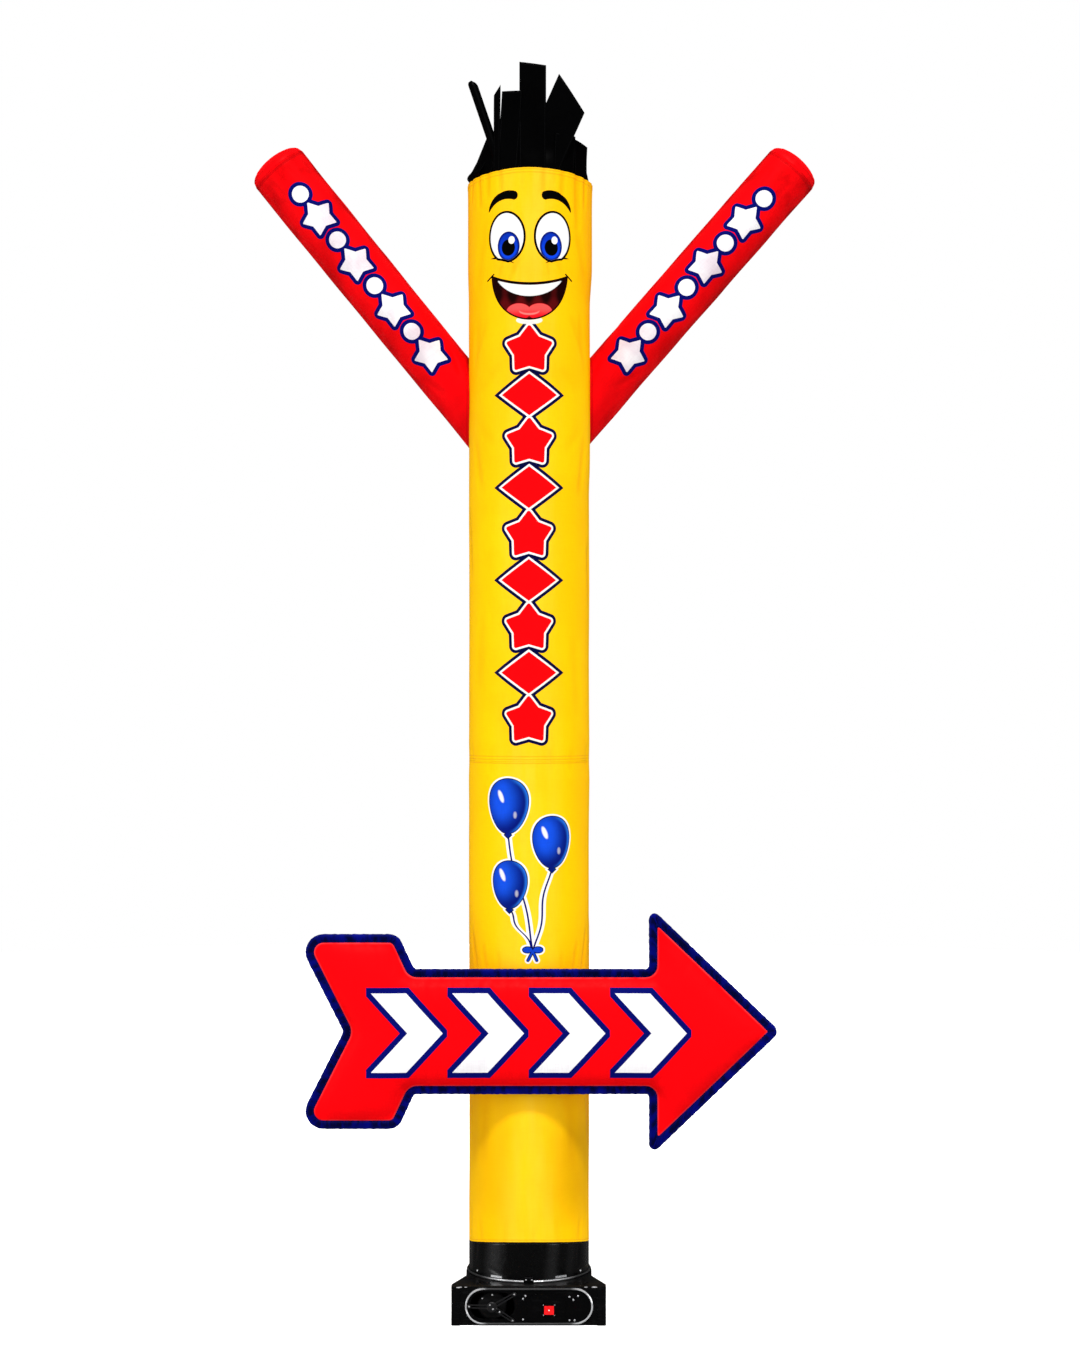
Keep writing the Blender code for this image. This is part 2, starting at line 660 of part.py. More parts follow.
def make_fascia(look):
    """The plate that covers the blower's front, and the bright rim round it."""
    front = PANEL_FRONT - GAP - FASCIA_THICK
    fascia = plate("fascia", fascia_outline(-RIM_WIDTH - GAP), front, PANEL_FRONT - GAP, look)
    cut(fascia, plate("inlet", rounded(INLET, arc=5), front - 0.01, PANEL_FRONT + 0.01, look))
    cut(fascia, switch_hole(look))
    return fascia


def make_fascia_rim(look):
    back = PANEL_FRONT - GAP
    front = back - RIM_PROUD
    rings = [
        upright(fascia_outline(0.0), back), upright(fascia_outline(0.0), front + 0.001),
        upright(fascia_outline(-RIM_WIDTH / 2), front),
        upright(fascia_outline(-RIM_WIDTH), front + 0.001), upright(fascia_outline(-RIM_WIDTH), back),
    ]
    return loft("fascia_rim", rings, look, closed=True)


def bar(start, end, half_width, front, back, look):
    """A flat bar between two points on the blower's front."""
    run = (end - start).normalized()
    side = Vector((-run.y, run.x)) * half_width
    outline = [tuple(p) for p in (start + side, start - side, end - side, end + side)]
    return plate("bar", outline, front, back, look)


def make_bracket(look):
    """A hub on three legs of twin bars, each ending in a pad on the fascia."""
    back = PANEL_FRONT - FASCIA_THICK - 2 * GAP
    front = back - LEG_THICK
    hub = Vector((HUB_X, HUB_Z))
    profile = ((HUB_RADIUS, 0.0), (HUB_RADIUS, HUB_THICK - 0.002), (HUB_RADIUS - 0.002, HUB_THICK))
    bracket = turned("motor_bracket", profile, 24, facing(HUB_X, back, HUB_Z), look)
    for leg in BRACKET_LEGS:
        run = Vector((math.cos(math.radians(leg.angle)), math.sin(math.radians(leg.angle))))
        side = Vector((-run.y, run.x)) * LEG_SPREAD
        end = hub + run * leg.length
        for way in (-1, 1):
            start = hub + run * HUB_RADIUS * 0.6 + side * way
            fuse(bracket, bar(start, end + side * way * 0.7, LEG_BAR / 2, front, back, look))
        pad = ((PAD_RADIUS, 0.0), (PAD_RADIUS, LEG_THICK + 0.001))
        fuse(bracket, turned("pad", pad, 12, facing(end.x, back, end.y), look))
    return bracket


def make_motor(look):
    """A plain motor can inside the casing, carried by the hub."""
    hub_back = PANEL_FRONT - FASCIA_THICK - GAP
    reach = MOTOR_BACK - MOTOR_FRONT
    boss = MOTOR_FRONT - hub_back
    profile = (
        (MOTOR_RADIUS - 0.004, -reach), (MOTOR_RADIUS, -reach + 0.004), (MOTOR_RADIUS, -0.004),
        (MOTOR_RADIUS - 0.004, 0.0), (MOTOR_BOSS, 0.0), (MOTOR_BOSS, boss),
    )
    return turned("motor", profile, 28, facing(HUB_X, MOTOR_FRONT, HUB_Z), look)


# ---- the switch ----
SWITCH_FACE = PANEL_FRONT - FASCIA_THICK - FITTING_THICK - 3 * GAP      # what the switch's flange lies on
PIVOT_Y = SWITCH_FACE - FLANGE_THICK + 0.0006


def switch_rectangle(grow):
    half_x = ROCKER_HALF_WIDTH + RUNNING_GAP + grow
    half_z = ROCKER_SWING + RUNNING_GAP + grow
    return [
        (SWITCH_X - half_x, SWITCH_Z - half_z), (SWITCH_X + half_x, SWITCH_Z - half_z),
        (SWITCH_X + half_x, SWITCH_Z + half_z), (SWITCH_X - half_x, SWITCH_Z + half_z),
    ]


def switch_hole(look):
    return plate("hole", switch_rectangle(CUP_WALL + GAP), PANEL_FRONT - 0.02, PANEL_FRONT - GAP / 2, look)


def make_switch_plate(look):
    back = PANEL_FRONT - FASCIA_THICK - 2 * GAP
    cover = plate("switch_plate", rounded(SWITCH_PLATE, arc=5), back - FITTING_THICK, back, look)
    return cut(cover, switch_hole(look))


def make_switch_housing(look):
    front = SWITCH_FACE - FLANGE_THICK
    cup_back = PIVOT_Y + CUP_DEPTH
    cup = plate("switch_housing", switch_rectangle(CUP_WALL), front, cup_back, look)
    fuse(cup, plate("flange", switch_rectangle(FLANGE), front, SWITCH_FACE, look))
    return cut(cup, plate("well", switch_rectangle(0.0), front - 0.01, cup_back - CUP_WALL, look))


def make_rocker(look):
    """At rest its upper half is pressed in. It rocks about a level pin through its middle."""
    half_throw = ROCKER_THROW / 2
    tip = math.acos(ROCKER_VALLEY / ROCKER_SWING)
    rise = ROCKER_VALLEY + ROCKER_SWING * math.sin(tip) * math.tan(half_throw)
    edge = math.asin(rise / ROCKER_SWING)
    back = math.asin(ROCKER_BACK / ROCKER_SWING)
    profile = [(ROCKER_VALLEY, 0.0)]
    for k in range(5):
        a = edge - (edge + back) * k / 4
        profile.append((ROCKER_SWING * math.sin(a), ROCKER_SWING * math.cos(a)))
    profile += [(out, -up) for out, up in reversed(profile[1:])]
    lean = Matrix.Rotation(-half_throw, 4, "X")
    place = Matrix.Translation((SWITCH_X, PIVOT_Y, SWITCH_Z))
    sides = [
        [place @ lean @ Vector((x, -out, up)) for out, up in profile]
        for x in (-ROCKER_HALF_WIDTH, ROCKER_HALF_WIDTH)
    ]
    return loft("rocker", sides, look)


# ---- small fittings ----
def make_screws(look):
    back = PANEL_FRONT - FASCIA_THICK - 2 * GAP
    profile = ((SCREW_RADIUS, 0.0), (SCREW_RADIUS, SCREW_PROUD * 0.5), (SCREW_RADIUS * 0.6, SCREW_PROUD))
    for number, screw in enumerate(FASCIA_SCREWS, 1):
        turned(f"fascia_screw_{number}", profile, 10, facing(screw.x, back, screw.z), look)


def make_hoop(look):
    """A wire hoop round the foot of the cuff. Its two ends meet the clasp."""
    radius = (tube_section(HOOP_Z)[0] + GAP) / math.cos(math.pi / TUBE_STEPS) + HOOP_WIRE
    half_turn = math.asin((CLASP_HALF_WIDTH + GAP) / radius)
    first = -math.pi / 2 + half_turn
    sweep = 2 * math.pi - 2 * half_turn
    rings = []
    for i in range(TUBE_STEPS + 1):
        angle = first + sweep * i / TUBE_STEPS
        out = Vector((math.cos(angle), math.sin(angle), 0))
        rings.append([
            out * (radius + HOOP_WIRE * math.cos(a)) + Vector((0, 0, HOOP_Z + HOOP_WIRE * math.sin(a)))
            for a in (math.radians(60 * k) for k in range(6))
        ])
    return loft("hoop", rings, look)


def make_clasp(look):
    front = -(tube_section(HOOP_Z)[0] + GAP + CLASP_DEPTH)
    clasp = box(
        "hoop_clasp", (-CLASP_HALF_WIDTH, front, CASING_TOP + GAP),
        (CLASP_HALF_WIDTH, front + CLASP_DEPTH, CLASP_TOP), look,
    )
    return bevel(clasp, 0.0015, segments=1)


def make_keepers(look):
    radius = tube_section(KEEPER_Z)[0]
    for name, side in (("keeper_left", -1), ("keeper_right", 1)):
        turn = math.asin(KEEPER_X / radius) * side
        seat = Matrix.Translation((0, -radius - GAP - KEEPER_SIZE[1] / 2, KEEPER_Z))
        place = Matrix.Rotation(turn, 4, "Z") @ seat
        tab = box(name, [-s / 2 for s in KEEPER_SIZE], [s / 2 for s in KEEPER_SIZE], look)
        tab.data.transform(place)


def make_studs(look):
    radius = tube_section(STUD_Z)[0]
    profile = ((STUD_RADIUS, 0.0), (STUD_RADIUS, 0.0012), (STUD_RADIUS * 0.5, 0.0022))
    for name, side in (("stud_left", -1), ("stud_right", 1)):
        turn = math.radians(90 - STUD_TURN) * side
        place = Matrix.Rotation(turn, 4, "Z") @ facing(0, -radius - GAP, STUD_Z)
        turned(name, profile, 12, place, look)


def make_gland(look):
    """The cable's entry at the back of the casing."""
    wall = DRUM_RADIUS * math.cos(DRUM_STEP / 2) + GAP
    place = Matrix.Translation((0, wall, GLAND_Z)) @ Matrix.Rotation(math.radians(-90), 4, "X")
    profile = (
        (0.0095, 0.0), (0.0095, 0.006), (0.0078, 0.0075), (0.0078, 0.015), (0.0055, 0.020),
        (0.0042, 0.020), (0.0042, 0.010),
    )
    return turned("cable_gland", profile, 12, place, look)


def main():
    for thing in list(bpy.data.objects):
        bpy.data.objects.remove(thing, do_unlink=True)

    yellow = material("yellow_cloth", YELLOW, 0.55)
    red = material("red_cloth", RED, 0.50)
    navy = material("navy_cloth", NAVY, 0.55)
    black_cloth = material("black_cloth", BLACK_CLOTH, 0.75)
    shell = material("black_plastic", BLACK_PLASTIC, 0.38)
    gloss = material("gloss_plastic", BLACK_PLASTIC, 0.20)
    red_plastic = material("red_plastic", RED, 0.25)
    steel = material("steel", STEEL, 0.25, metallic=1.0)
    painted = material("painted_metal", BLACK_PLASTIC, 0.40, metallic=0.6)

    tube_shell("tube_lower", seam_levels(BODY_LEVELS_LOWER), yellow)
    tube_upper = tube_shell("tube_upper", seam_levels(BODY_LEVELS_UPPER[:-1] + (RIM + GAP / 2,)), yellow)
    cuff_levels = (CASING_TOP + GAP / 2, HOOP_Z + 2 * HOOP_WIRE, 0.15, CUFF_TOP)
    tube_shell("cuff", seam_levels(cuff_levels), black_cloth)
    for arm in ARMS:
        make_arm(arm, tube_upper, red)

    corners = arrow_corners()
    make_cushion(corners, red)
    make_binding(corners, navy)
    make_hair(black_cloth)

    make_casing(shell)
    make_fascia(gloss)
    make_fascia_rim(steel)
    make_bracket(painted)
    make_motor(painted)
    make_switch_plate(shell)
    make_switch_housing(gloss)
    make_rocker(red_plastic)
    make_screws(steel)

    make_hoop(steel)
    make_clasp(shell)
    make_keepers(steel)
    make_studs(steel)
    make_gland(shell)

    for piece in bpy.data.objects:
        piece.data.shade_smooth()
        piece.data.set_sharp_from_angle(angle=math.radians(35))


main()
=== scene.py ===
import functools
import math
from collections import namedtuple

import bpy
import numpy as np
from mathutils import Matrix, Vector
from mathutils.geometry import delaunay_2d_cdt


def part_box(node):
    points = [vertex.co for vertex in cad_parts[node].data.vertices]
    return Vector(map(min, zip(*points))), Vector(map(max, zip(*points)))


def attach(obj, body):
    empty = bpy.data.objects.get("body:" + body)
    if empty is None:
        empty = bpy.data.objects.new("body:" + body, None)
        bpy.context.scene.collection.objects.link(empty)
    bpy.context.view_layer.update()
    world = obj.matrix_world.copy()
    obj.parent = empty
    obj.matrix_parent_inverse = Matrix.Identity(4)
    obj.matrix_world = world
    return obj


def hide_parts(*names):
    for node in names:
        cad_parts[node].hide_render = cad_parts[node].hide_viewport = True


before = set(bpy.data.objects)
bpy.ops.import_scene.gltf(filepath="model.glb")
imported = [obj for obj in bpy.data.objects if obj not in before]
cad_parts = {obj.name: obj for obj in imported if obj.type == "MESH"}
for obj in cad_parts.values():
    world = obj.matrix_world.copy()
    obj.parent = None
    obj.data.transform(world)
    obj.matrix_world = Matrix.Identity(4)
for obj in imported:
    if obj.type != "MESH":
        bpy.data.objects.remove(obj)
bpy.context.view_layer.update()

# An inflatable air dancer on its blower. Metres, +Z up, the dancer faces -Y.
# The cloth is made here. The blower's hard parts are the CAD's own, with finishes.

body = "dancer"
print("frame:", len(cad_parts), "nodes")

def newObject(name, data):
    made = bpy.data.objects.new(name, data)
    bpy.context.scene.collection.objects.link(made)
    return made


def newMesh(name, points, faces, look, sharp=60):
    # smooth, but for edges that turn by more than the sharp angle
    mesh = bpy.data.meshes.new(name)
    mesh.from_pydata(points, [], faces)
    mesh.shade_smooth()
    mesh.set_sharp_from_angle(angle=math.radians(sharp))
    mesh.materials.append(look)
    return newObject(name, mesh)


# the camera is level and looks straight on to the front
cameraSettings = {"lens": 69.33, "place": (0.0281, -6.636, 1.6135)}
camera = newObject("camera", bpy.data.cameras.new("camera"))
camera.data.lens = cameraSettings["lens"]
camera.location = cameraSettings["place"]
camera.rotation_euler = (math.radians(90), 0, 0)
bpy.context.scene.camera = camera


def buildSheet(name, outer, inner, faces, clothMap, seamMap, look):
    # A sheet with two faces and walls along every open edge, as one closed mesh.
    # The maps hold one pair of numbers for each corner of each face.
    points = np.concatenate([outer.reshape(-1, 3), inner.reshape(-1, 3)])
    count = len(points) // 2
    starts, ends = faces.ravel(), np.roll(faces, -1, axis=1).ravel()
    bare = ~np.isin(starts * count + ends, ends * count + starts)
    a, b = starts[bare], ends[bare]
    walls = np.stack([b, a, a + count, b + count], axis=1)
    allFaces = faces.tolist() + (faces[:, ::-1] + count).tolist() + walls.tolist()
    made = newMesh(name, points.tolist(), allFaces, look)
    for label, flat in (("cloth", clothMap), ("seam", seamMap)):
        here, after = (corners.reshape(-1, 2)[bare] for corners in (flat, np.roll(flat, -1, axis=1)))
        parts = (flat, flat[:, ::-1], np.stack([after, here, here, after], axis=1))
        values = np.concatenate([part.reshape(-1, 2) for part in parts])
        layer = made.data.uv_layers.new(name=label, do_init=False)
        layer.uv.foreach_set("vector", values.astype(np.float32).ravel())
    return made


def gridFaces(rows, columns, closed):
    # Quads of a grid. The second result holds the corners' places in maps that have one column more.
    r, c = np.indices((rows - 1, columns if closed else columns - 1)).reshape(2, -1)

    def quads(width, after):
        low, high = r * width, (r + 1) * width
        return np.stack([low + c, low + after, high + after, high + c], axis=1)

    return quads(columns, (c + 1) % columns), quads(columns + 1 if closed else columns, c + 1)


def paired(a, b, spots):
    # a map from two numbers at each point
    return np.stack([np.ravel(a), np.ravel(b)], axis=1)[spots]


def denseEnds(rows, pull):
    # from 0 to 1, closer together at both ends, so that the gathers there stay crisp
    t = np.linspace(0, 1, rows)
    return t - pull * np.sin(2 * math.pi * t)


def smoothStep(t):
    t = np.clip(t, 0.0, 1.0)
    return t * t * (3 - 2 * t)


# A fold in cloth, from one point of the flat cloth to another: a trough with a low ridge on each side.
Crease = namedtuple("Crease", "u v endU endV width depth")


def creaseTable(*rows):
    # given in millimetres
    return [Crease(*(number / 1000 for number in row)) for row in rows]


def creaseDepth(u, v, creases, girth=None):
    total = np.zeros(np.broadcast(u, v).shape)
    for c in creases:
        du, dv = u - c.u, v - c.v
        if girth:
            du = (du + girth / 2) % girth - girth / 2
        runU, runV = c.endU - c.u, c.endV - c.v
        t = (du * runU + dv * runV) / (runU * runU + runV * runV)
        inside = np.clip(t, 0.0, 1.0)
        away = np.hypot(du - inside * runU, dv - inside * runV) / c.width
        taper = smoothStep(np.minimum(t + 0.35, 1.35 - t) / 0.7)
        total -= c.depth * taper * (1 - 0.9 * away ** 2) * np.exp(-away ** 2)
    return total


# painted shade in the cloth's folds: the depth that counts as a full fold, the tints of the shade and its
# strength
paintedFoldShade = {"deep": 0.0030, "tint": (0.86, 0.56, 0.30), "share": 0.32, "redShadeTint": (0.60, 0.25, 0.25)}


def markFoldShade(made, depth):
    # each point keeps the share of the full depth of its fold, for the painted shade of the cloth there
    layer = made.data.attributes.new("fold", "FLOAT", "POINT")
    share = np.clip(-depth.ravel() / paintedFoldShade["deep"], 0.0, 1.0)
    layer.data.foreach_set("value", np.tile(share, 2).astype(np.float32))
    return made


bodyForm = {
    "seamLift": 0.009,          # the seam over the cuff, at the front and back
    "seamDrop": 0.015,          # and at the sides
    "seamTurn": 0.30,           # how softly it turns there
    "girthRadius": 0.1545,      # flat cloth girth over two pi
    "sheet": 0.0012,
    "clear": 0.0004,            # between pieces that are sewn together
    "columns": 240,
    "cuffTop": 0.190,
    "seam": 1.397,
    "rim": 2.879,
    "rimDip": 0.018,            # how much lower the open rim is at the sides
    "hem": 0.012,
}
girth = 2 * math.pi * bodyForm["girthRadius"]
bodySections = np.array((       # height, radius, shift to the right
    (0.090, 0.1528, 0.0002), (1.340, 0.1530, 0.0002), (1.397, 0.1518, 0.0002), (1.450, 0.1530, 0.0002),
    (2.060, 0.1530, 0.0002), (2.160, 0.1544, 0.0013), (2.545, 0.1546, 0.0013), (2.650, 0.1582, 0.0026),
    (2.860, 0.1582, 0.0026), (2.885, 0.1576, 0.0026),
))
bodyPuckers = (                 # height, reach, depth, lobes, turn
    (1.397, 0.10, 0.0012, 8, 0.4), (0.73, 0.26, 0.0012, 5, 1.1), (2.32, 0.16, 0.0014, 6, 2.0),
    (2.879, 0.05, 0.0008, 8, 0.9),
)


def bodySection(v):
    # radius and shift at a height
    step = np.clip(np.searchsorted(bodySections[:, 0], v, side="left"), 1, len(bodySections) - 1)
    low, high = bodySections[step - 1], bodySections[step]
    t = smoothStep((v - low[..., 0]) / (high[..., 0] - low[..., 0]))
    section = low + (high - low) * t[..., None]
    return section[..., 1], section[..., 2]


# u is the distance round the cloth from the middle of the front, v the height
bodyCreases = creaseTable(
    # pleats under the open rim
    (-78, 2885, -73, 2818, 8.5, 2.7), (-112, 2885, -114, 2812, 9.5, 3), (-20, 2885, -16, 2825, 8, 0.9),
    (36, 2885, 34, 2810, 8.5, 2.9), (61, 2885, 64, 2840, 6.5, 1.3), (86, 2885, 83, 2802, 9.5, 3.2),
    (130, 2885, 134, 2740, 14, 4.2), (168, 2885, 162, 2790, 9, 3.1), (222, 2885, 230, 2815, 8.5, 2.8),
    (290, 2885, 283, 2780, 9.5, 3.4), (345, 2885, 352, 2830, 7, 2.5), (405, 2885, 398, 2795, 9, 3.1),
    (-146, 2885, -142, 2790, 8.5, 2.9), (-178, 2885, -184, 2805, 8, 2.6), (-236, 2885, -229, 2780, 9.5, 3.3),
    (-300, 2885, -307, 2825, 8, 2.6), (-372, 2885, -365, 2790, 9, 3.3), (-440, 2885, -446, 2820, 8, 2.6),
    # soft folds over the face and the cheeks
    (-67, 2650, -81, 2606, 7, 1.8), (-27, 2650, -51, 2598, 8.5, 2.2), (43, 2650, 51, 2604, 6.5, 1.9),
    (69, 2650, 85, 2612, 7.5, 1.7), (-120, 2745, -152, 2590, 16, 1.4), (128, 2735, 170, 2600, 17, 1.8),
    (-150, 2500, -165, 2385, 15, 1.6), (150, 2505, 172, 2380, 15, 1.8),
    # folds that run in from the two armholes
    (-135, 2330, -80, 2385, 14, 0.9), (-140, 2235, -95, 2190, 15, 1), (-165, 2195, -140, 2080, 15, 2),
    (-155, 2420, -120, 2500, 13, 1.4), (138, 2325, 88, 2375, 14, 0.9), (145, 2230, 100, 2175, 15, 1.2),
    (170, 2200, 150, 2070, 15, 2.2), (160, 2425, 118, 2510, 13, 1.5), (330, 2310, 395, 2350, 15, 1.8),
    (335, 2220, 400, 2160, 15, 1.8), (-330, 2300, -395, 2345, 15, 1.8), (-335, 2225, -405, 2175, 15, 1.8),
    # along the body
    (205, 1935, 222, 1800, 17, 3.6), (-214, 2020, -196, 1860, 19, 2.2), (-135, 1760, -150, 1590, 20, 1.4),
    (128, 1700, 142, 1520, 20, 1.3), (320, 1920, 300, 1700, 22, 2), (-330, 1880, -345, 1640, 22, 2),
    (440, 2060, 455, 1840, 20, 1.8), (-420, 1700, -410, 1520, 20, 1.6),
    # gathers on each side of the middle seam
    (-190, 1430, -187, 1385, 8, 1.2), (-104, 1427, -106, 1372, 9, 1), (-22, 1421, -20, 1378, 8, 0.7),
    (57, 1428, 60, 1375, 8, 0.9), (118, 1424, 116, 1370, 9, 1.1), (195, 1432, 198, 1372, 9, 1.3),
    (290, 1428, 286, 1375, 9, 1.3), (380, 1424, 384, 1368, 9, 1.2), (455, 1428, 452, 1372, 9, 1.2),
    (-270, 1424, -274, 1370, 9, 1.3), (-350, 1430, -346, 1374, 9, 1.2), (-430, 1426, -434, 1370, 9, 1.2),
    # above and below the arrow, where it pulls on the body
    (-185, 965, -160, 872, 10, 2.4), (-135, 935, -120, 868, 9, 2), (-85, 925, -78, 870, 8, 1.2),
    (190, 970, 166, 872, 10, 2.4), (142, 940, 128, 868, 9, 2), (92, 922, 86, 870, 8, 1.2),
    (-200, 610, -222, 440, 18, 2.8), (196, 600, 214, 430, 18, 2.8), (-120, 560, -134, 390, 20, 1.8),
    (112, 570, 128, 380, 20, 1.6), (-330, 760, -350, 540, 22, 2.2), (340, 780, 322, 520, 22, 2.2),
    (445, 700, 455, 480, 20, 1.6), (-250, 1180, -262, 990, 20, 1.6), (252, 1200, 240, 1000, 20, 1.8),
    (400, 1260, 412, 1060, 22, 1.8), (-405, 1150, -392, 930, 22, 1.8),
    # gathers over the cuff
    (-205, 186, -200, 265, 11, 1.8), (-140, 186, -146, 240, 10, 1.4), (-66, 186, -60, 250, 11, 1),
    (12, 186, 16, 235, 10, 0.8), (80, 186, 74, 255, 11, 1.2), (150, 186, 156, 245, 10, 1.6),
    (212, 186, 206, 270, 11, 1.8), (290, 186, 296, 250, 11, 1.8), (370, 186, 364, 262, 11, 1.8),
    (450, 186, 455, 246, 11, 1.8), (-285, 186, -290, 255, 11, 1.8), (-362, 186, -356, 243, 11, 1.8),
    (-436, 186, -441, 262, 11, 1.8),
)


def bodyPoint(u, v, offset=0.0, folds=True):
    u, v = np.broadcast_arrays(np.asarray(u, float), np.asarray(v, float))
    turn = u / bodyForm["girthRadius"] - math.pi / 2
    radius, shift = bodySection(v)
    for height, reach, depth, lobes, start in bodyPuckers:
        radius = radius + depth * np.exp(-((v - height) / reach) ** 2) * np.cos(lobes * turn + start)
    radius = radius + offset
    if folds:
        # with faint slow ripples that follow no fold
        radius = radius + creaseDepth(u, v, bodyCreases, girth)
        radius = radius + 0.00045 * np.cos(3 * turn + 5 * v) * np.sin(9 * v + 1) \
            + 0.00030 * np.cos(7 * turn - 11 * v) * np.sin(17 * v + 2 * np.cos(turn))
    return np.stack([shift + radius * np.cos(turn), radius * np.sin(turn), v], axis=-1)


Arm = namedtuple("Arm", "side rootX rootZ tipX tipZ rootRadius tipRadius")
arms = (
    Arm("Left", -0.158, 2.3163, -0.6430, 2.9129, 0.0731, 0.0759),
    Arm("Right", 0.157, 2.3202, 0.6734, 2.9129, 0.0725, 0.0726),
)
armForm = {
    "depth": 0.060, "columns": 96, "rows": 150, "capHeight": 0.035, "capSteps": 40, "lobes": 5,
    "rootFold": (0.0016, 0.10), "tipFold": (0.0008, 0.05),      # depth, and how far along it fades
}


def armAxes(arm):
    root = np.array([arm.rootX, armForm["depth"], arm.rootZ])
    tip = np.array([arm.tipX, armForm["depth"], arm.tipZ])
    long = np.linalg.norm(tip - root)
    along = (tip - root) / long
    back = np.array([0.0, 1.0, 0.0])
    return root, np.cross(back, along), back, along, long


def armPoint(arm, turn, s, offset=0.0, creases=()):
    root, across, back, along, long = armAxes(arm)
    radius = arm.rootRadius + (arm.tipRadius - arm.rootRadius) * np.maximum(s / long, 0.0) + offset
    (rootDeep, rootFade), (tipDeep, tipFade) = armForm["rootFold"], armForm["tipFold"]
    fold = rootDeep * np.exp(-(np.maximum(s, 0.0) / rootFade) ** 2)
    fold = fold + tipDeep * np.exp(-((long - s) / tipFade) ** 2)
    radius = radius + fold * np.cos(armForm["lobes"] * turn + 0.6)
    if creases:
        radius = radius + creaseDepth(armAcross(arm, turn), s, creases, 2 * math.pi * arm.tipRadius)
        radius = radius + 0.0004 * np.cos(2 * turn + 21 * s) * np.sin(13 * s) \
            + 0.00025 * np.cos(5 * turn - 33 * s)
    ring = np.cos(turn)[..., None] * across + np.sin(turn)[..., None] * back
    return root + radius[..., None] * ring + s[..., None] * along


def fromFront(turn):
    # the angle from the middle of the front, between minus and plus half a turn
    return (turn + 1.5 * math.pi) % (2 * math.pi) - math.pi


def armAcross(arm, turn):
    # distance round the sleeve from the middle of its front, towards the top
    return fromFront(turn) * arm.tipRadius


def aroundBody(p):
    # a point's u on the body, and its distance from the body's axis
    across = p[..., 0] - bodySection(p[..., 2])[1]
    return fromFront(np.arctan2(p[..., 1], across)) * bodyForm["girthRadius"], np.hypot(across, p[..., 1])


def armStart(arm, turn, clear, inset=0.0):
    # where the sleeve's surface meets the body, by halving
    low, high = np.full(turn.shape, -0.13), np.full(turn.shape, 0.20)
    for _ in range(40):
        middle = (low + high) / 2
        p = armPoint(arm, turn, middle, -inset)
        u, out = aroundBody(p)
        inBody = out < aroundBody(bodyPoint(u, p[..., 2], clear))[1]
        low, high = np.where(inBody, middle, low), np.where(inBody, high, middle)
    return (low + high) / 2


def armholeCurve(arm, inset):
    # the armhole in the body's own u and v
    turn = np.linspace(0, 2 * math.pi, 360, endpoint=False)
    p = armPoint(arm, turn, armStart(arm, turn, 0.0, inset), -inset)
    return np.stack([aroundBody(p)[0], p[..., 2]], axis=-1)


def runAlong(curve):
    steps = np.hypot(*(curve - np.roll(curve, 1, axis=0)).T)
    return np.concatenate([[0.0], np.cumsum(steps[1:])])


def gapsTo(curve, u, v):
    return np.hypot(u[:, None] - curve[:, 0], v[:, None] - curve[:, 1])


def insideCurve(u, v, curve):
    odd = np.zeros(u.shape, bool)
    for a, b in zip(curve, np.roll(curve, -1, axis=0)):
        if a[1] != b[1]:
            odd ^= ((a[1] > v) != (b[1] > v)) & (u < a[0] + (v - a[1]) * (b[0] - a[0]) / (b[1] - a[1]))
    return odd


def seamWave(u):
    # the seam over the cuff is drawn up a little at the front and back and hangs lower at the sides
    turn = bodyForm["seamTurn"]
    share = (np.hypot(np.cos(u / bodyForm["girthRadius"]), turn) - turn) / (math.hypot(1.0, turn) - turn)
    return bodyForm["seamLift"] * share - bodyForm["seamDrop"] * (1 - share)


def girthTurns(columns):
    return (np.arange(columns + 1) / columns - 0.5) * girth


